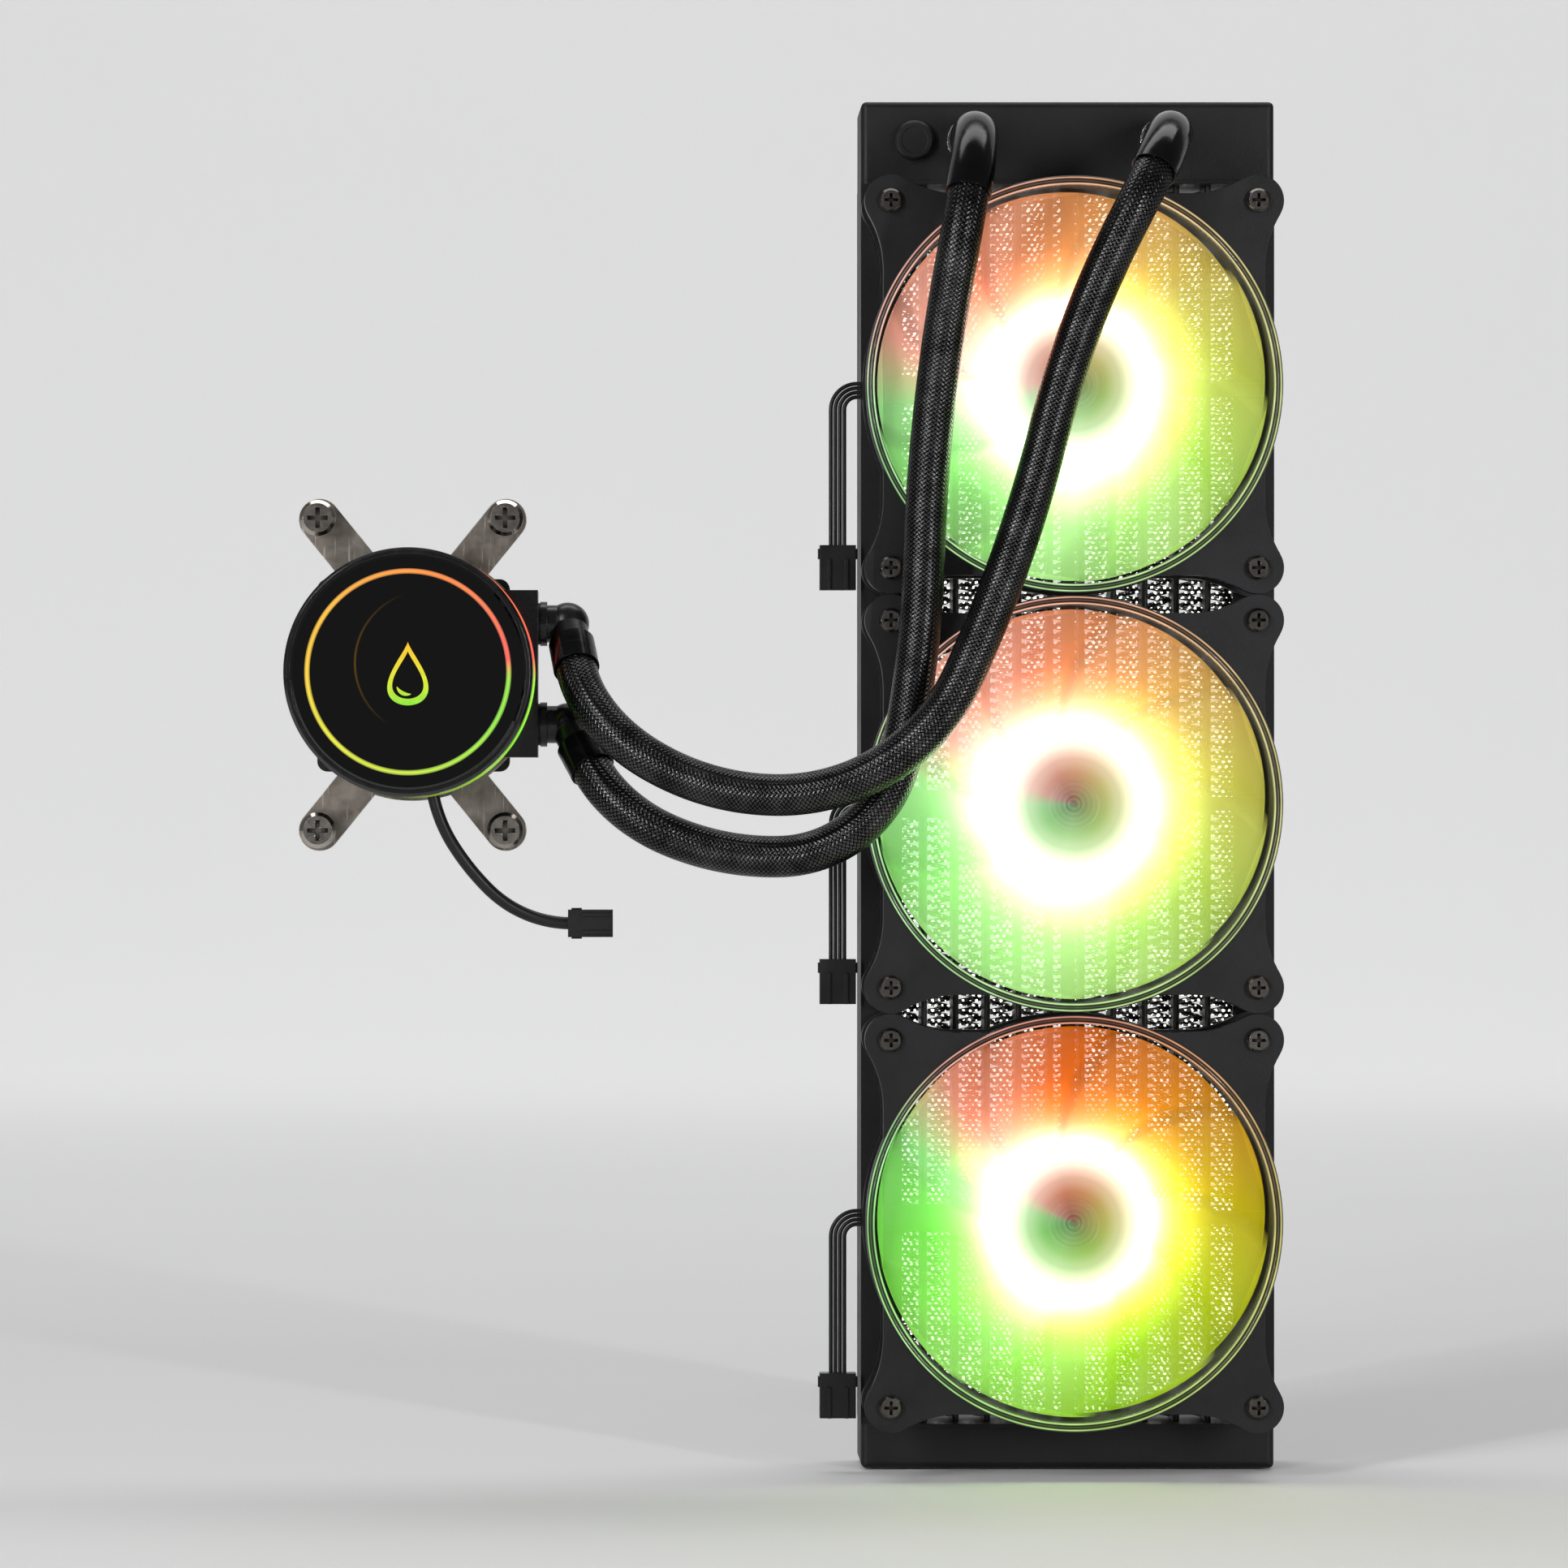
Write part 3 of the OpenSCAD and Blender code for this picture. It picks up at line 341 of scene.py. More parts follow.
def plain_materials():
    """The material of every slot that doesn't shine by itself."""
    return {
        "tube_metal": coated("tube_metal", "#2a2a2c", "#1c1c1e", 0.42, metal=0.5, grain=900, depth=0.02),
        "inner_metal": coated("inner_metal", "#b9babd", "#8f9094", 0.35, metal=1.0, grain=1200, depth=0.01),
        "black_paint": coated("black_paint", "#0c0c0e", "#121214", 0.5, grain=2200, depth=0.05,
                              worn="#4c4c50", wear=0.35, shine=0.3),
        "nickel": coated("nickel", "#c9cacd", "#a6a8ac", 0.2, metal=1.0, grain=900, depth=0.004),
        "plug_plastic": coated("plug_plastic", "#161617", "#1e1e20", 0.38, grain=1200, depth=0.02,
                               worn="#4a4a4d", shine=0.3),
        "seal_rubber": coated("seal_rubber", "#0d0d0e", "#151516", 0.65, grain=1600, depth=0.02),
        "frame_plastic": coated("frame_plastic", "#0f0f11", "#161619", 0.44, grain=2600, depth=0.045,
                                edge=0.35, worn="#4c4c50", wear=0.45, shine=0.3),
        "steel": coated("steel", "#c4bdb4", "#958e86", 0.17, metal=1.0, grain=500, depth=0.003, edge=0.15,
                        hollow_shade=1.6),
        "magnet": coated("magnet", "#3c3c40", "#2c2c2f", 0.5, metal=0.8, grain=1500, depth=0.03),
        "bronze": coated("bronze", "#b98a48", "#8f6430", 0.38, metal=1.0, grain=1800, depth=0.02),
        "windings": coated("windings", "#b5602c", "#8c441c", 0.28, metal=0.9, grain=500, depth=0.06,
                           stretch=(1, 1, 9)),
        "board": coated("board", "#0f2417", "#143120", 0.36, grain=1300, depth=0.01, coat=0.4),
        "dark_steel": coated("dark_steel", "#6e6a66", "#3a3734", 0.3, metal=1.0, grain=700, depth=0.012,
                             edge=0.15, worn="#b8b0a6", wear=0.6, hollow_shade=1.4),
        "lead_plastic": coated("lead_plastic", "#101011", "#1a1a1c", 0.36, grain=900, depth=0.012,
                               shine=0.3),
        "collar_plastic": coated("collar_plastic", "#040405", "#08080a", 0.16, grain=260, depth=0.05,
                                 edge=0.3, worn="#303034", shine=0.2),
        "copper": coated("copper", "#c4764c", "#a55c36", 0.22, metal=1.0, grain=700, depth=0.01,
                         stretch=(1, 1, 22)),
        "pump_plastic": coated("pump_plastic", "#0b0b0d", "#121214", 0.3, grain=1900, depth=0.025,
                               edge=0.3, worn="#48484c", wear=0.35, shine=0.35),
        "rotor_plastic": coated("rotor_plastic", "#d8d6cf", "#c8c6be", 0.4, grain=900, depth=0.01),
        "ceramic": coated("ceramic", "#ecebe6", "#dddbd4", 0.16, grain=800, depth=0.004),
        "shell_gloss": coated("shell_gloss", "#060607", "#0b0b0d", 0.16, grain=500, depth=0.004,
                              edge=0.5, coat=0.6, worn="#3c3c40", wear=0.3),
        "bracket_steel": scratched(coated("bracket_steel", "#a39b92", "#5c564f", 0.36, metal=1.0, grain=600,
                                          depth=0.02, edge=0.35, blotch=110, worn="#f0e8dc", wear=0.9),
                                   "#efe6d8", 0.55),
        "spring_steel": coated("spring_steel", "#c2c3c6", "#98999d", 0.22, metal=1.0, grain=900,
                               depth=0.006),
        "hose_rubber": coated("hose_rubber", "#0c0c0d", "#121213", 0.5, grain=900, depth=0.02),
    }


glint_pitch = 1.8
glint_rise = 1.45
glint_depth = 9.0    # how deep behind the fins' front the painted glints of light show


def fin_material():
    """Black-painted louvred foil with painted light: rows of glowing dots near its front stand in for
    daylight and the fans' light seen through its louvres.
    """
    look = Look("fin_metal")
    louvre = look.node("ShaderNodeTexWave", {"Vector": look.place, "Scale": 260.0, "Distortion": 0.0},
                       bands_direction="Y").outputs["Fac"]
    worn = look.noise(420, 4)
    place = look.where()
    row = look.math("DIVIDE", place["Z"], glint_rise * MM)
    odd = look.math("FLOORED_MODULO", look.math("FLOOR", row), 2.0)
    column = look.plus(look.math("DIVIDE", place["X"], glint_pitch * MM), look.times(odd, 0.5))
    x = look.times(look.minus(look.math("FRACT", column), 0.5), glint_pitch)
    y = look.times(look.minus(look.math("FRACT", row), 0.5), glint_rise)
    size = look.span(look.noise(330, 2), 0.36, 0.64, 0.05, 0.52)
    # Painted light: these dots glow on the fins near the front, in place of light shining through the
    # louvres.
    dot = look.math("GREATER_THAN", look.minus(size, look.length(x, y)), 0.0)
    front = look.math("LESS_THAN", place["Y"], (glint_depth - face_box("core_fins")[1][2]) * MM)
    look.set(Base_Color=look.mix(look.span(worn, 0.35, 0.7), colour("#1e1e20"), colour("#4c4c50")),
             Roughness=look.span(worn, 0.3, 0.7, 0.28, 0.5), Metallic=0.7, Emission_Color=colour("#fffdf4"),
             Emission_Strength=look.times(look.times(dot, front), 2.0))
    look.bump(louvre, 0.12)
    return look.material


# ---- Light that shines out of the part. A tone is (turn, colour), and turns run anticlockwise ----

# From the bottom of a fan
FAN_TONES = [(0.0, "#a2d880"), (0.17, "#9abe4a"), (0.36, "#b8ac48"), (0.5, "#ca884c"), (0.6, "#c87856"),
             (0.72, "#d89c8a"), (0.78, "#92d084"), (0.86, "#84cc6c"), (1.0, "#a2d880")]
# From the left of the pump head
RING_TONES = [(0.0, "#f4c81e"), (0.1, "#e4e024"), (0.42, "#88e034"), (0.49, "#98e03a"), (0.52, "#ff5c50"),
              (0.7, "#ff8a34"), (1.0, "#f4c81e")]
FAN_PHASE = {"top": 0.0, "middle": 0.05, "bottom": 0.09}
FAN_RICHNESS = {"top": (1.0, 1.0), "middle": (1.0, 1.0), "bottom": (1.22, 0.93)}    # saturation, value


def fan_tone(look, turn, radius, fan):
    """The fan's colour by turn, with a slight swirl outward."""
    swirl = look.times(look.minus(radius, 38.0), 0.0009)
    drift = look.plus(swirl, FAN_PHASE[fan] + 0.75)
    tone = look.ramp(look.math("FRACT", look.plus(turn, drift)), FAN_TONES)
    saturation, value = FAN_RICHNESS[fan]
    inputs = {"Color": tone, "Saturation": saturation, "Value": value}
    return look.node("ShaderNodeHueSaturation", inputs).outputs[0]


def hub_light(look, radius):
    """Light through the hub's face: dim in the middle, with fine turned rings, and bright at the rim."""
    groove = look.math("ABSOLUTE", look.math("SINE", look.times(radius, 2.2)))
    rings = look.times(groove, look.span(radius, 9.5, 4.0, 0.0, 0.12))
    dimple = look.times(look.bell(radius, 0.0, 1.9), 0.2)
    bowl = look.span(radius, 3.0, 12.0, 0.45, 0.95)
    rim = look.span(radius, 13.0, 17.5, 0.0, 0.7)
    light = look.minus(look.plus(bowl, rim), look.plus(rings, dimple))
    return look.math("MAXIMUM", light, 0.0)


def frosted_material(fan):
    """Translucent white plastic with a white-hot ring round the hub and coloured light out to the tips."""
    white_hot, warm_white, shadow = (1, 1, 0.84, 1), (1.0, 0.92, 0.8, 1), (0.06, 0.06, 0.06, 1)
    look = Look("frosted_plastic_" + fan)
    turn, radius = look.around(fan_centre[fan])
    tone = fan_tone(look, turn, radius, fan)
    beyond = look.math("MAXIMUM", look.minus(radius, hub_r), 0.0)
    near = look.math("EXPONENT", look.math("DIVIDE", beyond, -4.5))
    wide = look.math("EXPONENT", look.math("DIVIDE", beyond, -10.0))
    outside = look.span(radius, hub_r - 0.9, hub_r + 0.3)
    face = look.minus(1.0, outside)
    glow = look.mix(look.times(look.times(near, outside), 0.9), tone, white_hot)
    whiter = look.span(radius, 9.0, 17.0, 0.05, 0.6)
    glow = look.mix(look.times(face, whiter), glow, warm_white)
    blade_light = look.plus(look.plus(look.times(wide, 5.2), look.times(near, 3.5)), 0.72)
    strength = look.plus(look.times(blade_light, outside), look.times(face, hub_light(look, radius)))
    across = look.node("ShaderNodeAttribute", attribute_name="across").outputs["Fac"]
    edge = look.times(look.span(across, 0.0, overlap), look.span(across, 1.0, 1.0 - overlap))
    alpha = look.times(look.span(radius, hub_r + 4, hub_r + 22, 1.0, 0.42), edge)
    look.set(Base_Color=look.mix(look.span(face, 0.0, 1.0, 0.25, 0.9), tone, shadow),
             Roughness=look.span(look.noise(900, 2), 0.3, 0.7, 0.34, 0.5), Alpha=alpha,
             Emission_Color=glow, Emission_Strength=strength)
    look.bump(look.noise(1500, 2), 0.01)
    return look.material


def lip_material(fan, ridge_reflections):
    """Black gloss with painted reflections: thin glowing lines in the fan's colours along each ridge, each
    line given as (radius, width, strength).
    """
    look = Look("fan_lip_" + fan)
    turn, radius = look.around(fan_centre[fan])
    tone = look.mix(0.15, fan_tone(look, turn, radius, fan), (1, 1, 1, 1))
    # Painted reflection: the fan's light mirrored in each ridge is drawn as emission.
    lines = 0.02
    for middle, width, level in ridge_reflections:
        lines = look.plus(lines, look.times(look.bell(radius, middle, width), level))
    lines = look.times(lines, look.span(look.noise(120, 3), 0.3, 0.7, 0.75, 1.15))
    look.set(Base_Color=colour("#0b0b0c"), Roughness=0.12, Coat_Weight=0.5, Emission_Color=tone,
             Emission_Strength=lines)
    look.bump(look.noise(300, 2), 0.01)
    return look.material


def light_material(name, low, high, line=None):
    """A light guide of strength low on the left and high on the right; line is the radius it shines at."""
    line_width = 0.65
    look = Look(name)
    turn, radius = look.around(pump_centre)
    side = look.math("COSINE", look.times(look.minus(turn, 0.5), 2 * math.pi))
    strength = look.span(side, -0.1, 0.9, low, high)
    strength = look.times(strength, look.span(look.noise(60, 2), 0.3, 0.7, 0.92, 1.08))
    if line:
        strength = look.times(strength, look.bell(radius, line, line_width))
    look.set(Base_Color=colour("#303030"), Roughness=0.3, Emission_Color=look.ramp(turn, RING_TONES),
             Emission_Strength=strength)
    look.bump(look.noise(700, 2), 0.01)
    return look.material


def lens_material():
    """Smoked mirror with a painted reflection: a faint glowing arc for the second image of the light ring
    that its inner face gives.
    """
    reflection_r, reflection_width = 20.5, 0.25
    look = Look("mirror_black")
    turn, radius = look.around(pump_centre + np.array([5.5, 2.5]))
    # Painted reflection: the arc glows on the left side only.
    line = look.bell(radius, reflection_r, reflection_width)
    left = look.plus(look.span(turn, 0.16, 0.0), look.span(turn, 0.80, 1.0))
    smear = look.noise(90, 4)
    look.set(Base_Color=colour("#030304"), Roughness=look.span(smear, 0.35, 0.75, 0.02, 0.07),
             Coat_Weight=0.3, Emission_Color=colour("#d8a020"),
             Emission_Strength=look.times(look.times(line, left), 0.16))
    look.bump(smear, 0.004)
    return look.material


# ---- Impellers, and the lips of the fan frames ----

chord_turn = math.radians(48)
overlap = 1 - 2 * math.pi / blades / chord_turn    # share of a blade that lies over the next one


def blade(turn):
    """One wide swept blade: a thin rounded section carried out from the hub and round to the front.
    Returns its points and faces, and how far across the blade each point is."""
    root_r = hub_r - 0.8
    sweep = math.radians(26)
    camber = 1.4
    shares = np.linspace(0, 1, 22)
    around = np.linspace(0, 2 * math.pi, 36, endpoint=False)
    u = (1 - np.cos(around)) / 2
    side = np.sign(np.sin(around)) * np.abs(np.sin(around)) ** 0.6
    rows = []
    for v in shares:
        r = root_r + (tip_r - root_r) * v
        round_tip = 1 - 0.05 * max(0.0, (v - 0.94) / 0.06) ** 2
        chord = chord_turn * round_tip
        front, back = 20.6 - 0.8 * v, 4.4 + 3.2 * v
        half_t = 0.95 - 0.45 * v
        rise = (front - back) / (chord * r)
        normal = np.array([-rise, 1.0]) / math.hypot(rise, 1)
        along = (u - 0.5) * chord * r
        z = fan_back + (front + back) / 2 + (u - 0.5) * (front - back) + camber * np.sin(math.pi * u)
        angle = turn - sweep * v ** 1.3 + (along + side * half_t * normal[0]) / r
        rows.append(np.stack([r * np.cos(angle), r * np.sin(angle), z + side * half_t * normal[1]], axis=1))
    points = np.concatenate(rows)
    count = len(around)
    last = (len(shares) - 1) * count
    faces = grid_faces(len(shares), count)
    faces.append(list(range(count))[::-1])
    faces.append([last + k for k in range(count)])
    return points, faces, np.tile(u, len(shares))


def hub_profile():
    """From the dimple in the middle of the hub, over its rounded shoulder and back inside its cup."""
    top, foot = hub_front, hub_back
    cup_r, roof = hub_r - 2.2, top - 1.7
    outline = [(0, top - 0.7), (1.8, top - 0.7), (2.4, top), (6.4, top), (6.7, top - 0.2), (7.1, top - 0.2),
               (7.4, top), (hub_r, top), (hub_r, foot), (cup_r, foot), (cup_r, roof), (0, roof)]
    return rounded(outline, 0.9, 5)


def make_impellers():
    for fan in FANS:
        centre = np.array([*fan_centre[fan], 0])
        parts = [lathe(hub_profile(), fan_centre[fan], 96)]
        across = [np.full(len(parts[0][0]), 0.5)]
        for k in range(blades):
            points, faces, share = blade(2 * math.pi * k / blades)
            parts.append((points + centre, faces))
            across.append(share)
        points, faces = joined(parts)
        piece = make_piece("lit_impeller_" + fan, points, faces, frosted_material(fan))
        across = np.concatenate(across)
        piece.data.attributes.new("across", "FLOAT", "POINT").data.foreach_set("value", across)
        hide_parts("impeller_" + fan)
        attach(piece, "fan_rotor_" + fan)


def make_lips():
    """The glossy double-ridged rim round each fan's mouth, with painted reflections of the fan's light
    along each ridge.
    """
    inner, outer = tip_r + 1.05, 59.65
    low = fan_front - 1.6
    section = [(inner, low), (inner, fan_front + 0.1), (inner + 0.45, fan_front + 0.55),
               (inner + 1.0, fan_front - 0.3), (inner + 1.5, fan_front - 0.3),
               (outer - 0.5, fan_front + 0.65), (outer, fan_front + 0.4), (outer, low)]
    # Painted reflection along each ridge: radius, width and strength of its glowing line.
    ridge_reflections = [(inner + 0.35, 0.2, 1.5), (outer - 0.55, 0.2, 1.3), (inner + 1.25, 0.2, 0.15)]
    for fan in FANS:
        points, faces = lathe(rounded(section, 0.35, 3, closed=True), fan_centre[fan], 192, closed=True)
        piece = make_piece("fan_lip_" + fan, points, faces, lip_material(fan, ridge_reflections))
        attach(piece, "radiator")


# ---- Radiator fins ----

def louvres(start, fold, legs, half, shift, near, far):
    """Slats cut from the legs of one folded strip, tilted one way in front and the other way behind."""
    banks, slat_t, tilt = 5, 0.1, math.radians(21)
    deep = (far - near) / banks
    reach, half_length = 0.46 * deep, 0.8 * half
    leg = np.arange(legs)
    way = unit_rows(np.stack([np.where(leg % 2, 2 * half, -2 * half), np.full(legs, fold)], axis=1))
    across = np.stack([-way[:, 1], way[:, 0]], axis=1)
    middle = np.stack([np.zeros(legs), start + (leg + 0.5) * fold], axis=1) + shift
    corners = []
    for bank in range(banks):
        turn = tilt if bank < banks / 2 else -tilt
        z = near + (bank + 0.5) * deep
        for c in (-1, 1):
            for a, b in ((-1, -1), (1, -1), (1, 1), (-1, 1)):
                out = b * reach * math.sin(turn) + c * slat_t / 2 * math.cos(turn)
                up = b * reach * math.cos(turn) - c * slat_t / 2 * math.sin(turn)
                flat = middle + way * (a * half_length) + across * out
                corners.append(np.column_stack([flat, np.full(legs, z + up)]))
    points = np.stack(corners, axis=1).reshape(-1, 3)
    sides = [[0, 3, 2, 1], [4, 5, 6, 7], [0, 1, 5, 4], [1, 2, 6, 5], [2, 3, 7, 6], [3, 0, 4, 7]]
    faces = (np.array(sides)[None] + 8 * np.arange(legs * banks)[:, None, None]).reshape(-1, 4)
    return points, faces.tolist()


def make_fins(material):
    """Finely folded foil between the tubes, one strip a gap."""
    gaps, tube_t, fold, foil_t, slip = 13, 1.8, 1.45, 0.1, 0.03
    low, high = face_box("core_fins")
    pitch = (high[0] - low[0] + tube_t) / gaps
    half = (pitch - tube_t) / 2 - slip
    legs = int((high[1] - low[1]) / fold)
    start = (low[1] + high[1] - legs * fold) / 2
    corners = [((-half if k % 2 else half), start + k * fold) for k in range(legs + 1)]
    path = np.array(rounded(corners, 0.5, 2))
    ways = unit_rows(np.gradient(path, axis=0))
    across = np.stack([-ways[:, 1], ways[:, 0]], axis=1) * foil_t / 2
    parts = []
    for gap in range(gaps):
        shift = np.array([low[0] + half + gap * pitch + slip, 0])
        sides = [(path + across, low[2]), (path - across, low[2]),
                 (path - across, high[2]), (path + across, high[2])]
        rows = np.stack([np.column_stack([p + shift, np.full(len(p), z)]) for p, z in sides], axis=1)
        ends = [[3, 2, 1, 0], [4 * (len(path) - 1) + k for k in range(4)]]
        parts.append((rows.reshape(-1, 3), grid_faces(len(path), 4) + ends))
        parts.append(louvres(start, fold, legs, half, shift, low[2], high[2]))
    points, faces = joined(parts)
    piece = make_piece("folded_fins", points, faces, material, smooth=False)
    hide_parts("core_fins")
    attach(piece, "radiator")


# ---- Hoses: each route is a row of stations joined by pairs of arcs, as in the CAD source ----

port_x = 28.0
port_y = face_middle("port_barbs")[1]
stem_z = 28.6
elbow_z = 38.0
elbow_corners = [np.array([*(pump_centre + np.array([45.0, side * 14.5])), elbow_z]) for side in (1, -1)]
elbow_ways = [unit([0.2, -1, 0.9]), unit([0.55, -1, 0.75])]


def station(point, way):
    return np.asarray(point, float), unit(way)


def hose_route(side):
    """Side -1 is the hose from the left port to the lower elbow, 1 from the right port to the upper one."""
    corner, way = (elbow_corners[0], elbow_ways[0]) if side > 0 else (elbow_corners[1], elbow_ways[1])
    port = [side * port_x, port_y]
    tail = [station(corner + 18 * way, -way), station(corner + 8 * way, -way)]
    if side > 0:
        head = [station([*port, stem_z], [0, 0, 1]), station([*port, 42.1], [0, 0, 1]),
                station([-9, 105, 75], [-0.25, -1, 0.02]), station([-85, 2.5, 70], [-1, 0, -0.12])]
    else:
        head = [station([*port, stem_z], [0, 0, 1]), station([*port, 41.1], [0, 0, 1]),
                station([-43.5, 70, 62], [-0.03, -1, 0]), station([-84, -15, 57], [-1, -0.03, -0.1])]
    return head + tail


def meeting(a, b):
    """Where the two arcs between stations a and b meet."""
    v, s, k = b[0] - a[0], a[1] + b[1], 2 * (1 - a[1] @ b[1])
    if k < 1e-6:
        d = (v @ v) / (4 * (v @ b[1]))
    else:
        d = (math.sqrt((v @ s) ** 2 + k * (v @ v)) - v @ s) / k
    return (a[0] + b[0] + d * (a[1] - b[1])) / 2


def arc(p, t, q, step):
    """Points and headings along the arc that leaves p with heading t and ends at q."""
    c = q - p
    side = c - (c @ t) * t
    off = np.linalg.norm(side)
    if off < 1e-3:
        share = np.linspace(0, 1, 1 + math.ceil(np.linalg.norm(c) / step))[:, None]
        return p + share * c, np.repeat(t[None], len(share), axis=0)
    n, r = side / off, (c @ c) / (2 * off)
    turn = 2 * math.atan2(off, c @ t)
    a = np.linspace(0, turn, 2 + math.ceil(r * turn / step))[:, None]
    return p + r * n * (1 - np.cos(a)) + r * t * np.sin(a), t * np.cos(a) + n * np.sin(a)


def walk(stations, step):
    """Evenly spaced points along a route, their headings, and the distance walked."""
    points, ways = [], []
    for a, b in zip(stations, stations[1:]):
        m = meeting(a, b)
        c = unit(m - a[0])
        turned_way = 2 * (a[1] @ c) * c - a[1]
        for p, t, q in ((a[0], a[1], m), (m, turned_way, b[0])):
            new_points, new_ways = arc(p, t, q, 0.1)
            first = 1 if points else 0
            points.append(new_points[first:])
            ways.append(new_ways[first:])
    points, ways = np.concatenate(points), np.concatenate(ways)
    walked = np.concatenate([[0], np.cumsum(np.linalg.norm(np.diff(points, axis=0), axis=1))])
    at = np.linspace(0, walked[-1], 2 + int(walked[-1] / step))
    points = np.stack([np.interp(at, walked, points[:, k]) for k in range(3)], axis=1)
    ways = np.stack([np.interp(at, walked, ways[:, k]) for k in range(3)], axis=1)
    return points, unit_rows(ways), at


def tube_rows(path, ways, radius, around):
    """Rings of points round a path; radius is one number, or one for each point."""
    side = np.zeros_like(path)
    u = unit(np.cross(ways[0], [0.3, 1, 0.2]))
    for k, t in enumerate(ways):
        u = unit(u - (u @ t) * t)
        side[k] = u
    other = np.cross(ways, side)
    turn = np.linspace(0, 2 * math.pi, around, endpoint=False)
    ring = side[:, None] * np.cos(turn)[None, :, None] + other[:, None] * np.sin(turn)[None, :, None]
    return path[:, None] + np.broadcast_to(radius, (len(path), around))[:, :, None] * ring


def tube(stations, inner, outer, step, around):
    """A closed hollow tube. outer is a number, or a function of turn (0 to 1) and distance.
    Returns its points, its faces, and how far along the route each ring of points is."""
    path, ways, at = walk(stations, step)
    turn = np.arange(around) / around
    skin = outer(turn[None, :], at[:, None]) if callable(outer) else outer
    bore_stride = 6
    keep = np.unique(np.r_[np.arange(0, len(path), bore_stride), len(path) - 1])[::-1]
    bore = tube_rows(path, ways, inner, around)[keep]
    rows = np.concatenate([tube_rows(path, ways, skin, around), bore])
    return rows.reshape(-1, 3), grid_faces(len(rows), around, wrap_rows=True), np.r_[at, at[keep]]


strands = 22          # that wind each way round a sleeve
strand_rise = 1.3     # way along the sleeve from one strand to the next, in millimetres
weave_r = 5.85
weave_depth = 0.13


def weave_height(turn, distance):
    """Height from 0 to 1 of a plain weave of strands that wind both ways round a tube."""
    a = strands * turn + distance / strand_rise
    b = strands * turn - distance / strand_rise
    over = (np.floor(a) + np.floor(b)) % 2
    return np.where(over > 0, np.sin(math.pi * (a % 1)), np.sin(math.pi * (b % 1)))


def braid_radius(turn, distance):
    return weave_r + weave_depth * weave_height(turn, distance)


def braid_material():
    """Shiny black filaments laid side by side in each strand of the weave, with painted shade in the gaps
    between strands and painted highlight on their crowns.
    """
    look = Look("braid")
    route = look.node("ShaderNodeUVMap", uv_map="route").outputs[0]
    parts = look.node("ShaderNodeSeparateXYZ", {"Vector": route})
    wound = look.times(parts.outputs["X"], float(strands))
    gone = look.math("DIVIDE", parts.outputs["Y"], strand_rise)
    a = look.plus(wound, gone)
    b = look.minus(wound, gone)
    floors = look.plus(look.math("FLOOR", a), look.math("FLOOR", b))
    over = look.math("FLOORED_MODULO", floors, 2.0)
    share = look.plus(look.times(look.math("FRACT", a), over),
                      look.times(look.math("FRACT", b), look.minus(1.0, over)))
    filament = look.math("ABSOLUTE", look.math("SINE", look.times(share, 4 * math.pi)))
    crown = look.math("SINE", look.times(share, math.pi))
    height = look.plus(look.times(filament, 0.35), crown)
    # Painted shade and highlight: the base colour is darker in the gaps and lighter on the crowns; the same
    # mask makes the crowns shinier.
    shade = look.times(crown, look.span(look.noise(160, 4), 0.3, 0.7, 0.6, 1.0))
    look.set(Base_Color=look.mix(shade, colour("#010101"), colour("#09090b")), Roughness=0.2,
             Specular_IOR_Level=look.span(shade, 0.35, 0.85, 0.02, 1.0))
    look.bump(height, 0.07)
    return look.material


def cross_joint(piece, node):
    """Hides the CAD node that a hose piece stands in for, and bakes the piece's place into its mesh."""
    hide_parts(node)
    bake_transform(piece)


def write_route(sleeve, faces, walked, around):
    """A UV map of turn (0 to 1) and distance along the sleeve, closed across the seam."""
    corner = np.array(faces).ravel()
    column = (corner % around).reshape(-1, 4)
    at_seam = (column == 0) & (column.max(axis=1) == around - 1)[:, None]
    column = np.where(at_seam, around, column)
    route = np.stack([column.ravel() / around, walked[corner // around]], axis=1)
    sleeve.data.uv_layers.new(name="route").data.foreach_set("uv", route.ravel())


def make_hoses(rubber, braid):
    rubber_in, rubber_out, sleeve_in = 4.7, 5.45, 5.5
    around = 4 * strands
    for side, name in ((-1, "left"), (1, "right")):
        points, faces, _ = tube(hose_route(side), rubber_in, rubber_out, 1.5, 40)
        cross_joint(make_piece("rubber_hose_" + name, points, faces, rubber), "hose_" + name)
        points, faces, walked = tube(hose_route(side), sleeve_in, braid_radius, strand_rise / 4, around)
        sleeve = make_piece("braided_sleeve_" + name, points, faces, braid)
        write_route(sleeve, faces, walked, around)
        cross_joint(sleeve, "sleeve_" + name)


# ---- Springs under the mounting screws ----

def make_springs(material):
    """Wire coils whose end turns lie flat. Each one stretches from the pump head to its screw."""
    wire_r, coil_r, turns, flat_turns, sides = 0.45, 3.0, 4.5, 0.7, 14
    low, high = face_box("mount_springs")
    share = np.linspace(0, 1, 240)
    angle = 2 * math.pi * turns * share
    climb = np.clip((share * turns - flat_turns) / (turns - 2 * flat_turns), 0, 1)
    z = low[2] + wire_r + (high[2] - low[2] - 2 * wire_r) * climb
    last = (len(share) - 1) * sides
    caps = [list(range(sides))[::-1], [last + k for k in range(sides)]]
    faces = grid_faces(len(share), sides) + caps
    for number in range(1, 5):
        x, y = face_middle(f"mount_screw_{number}")[:2]
        path = np.stack([x + coil_r * np.cos(angle), y + coil_r * np.sin(angle), z], axis=1)
        rows = tube_rows(path, unit_rows(np.gradient(path, axis=0)), wire_r, sides)
        piece = make_piece(f"coil_spring_{number}", rows.reshape(-1, 3), faces, material)
        if number == 1:
            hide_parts("mount_springs")
        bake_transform(piece)


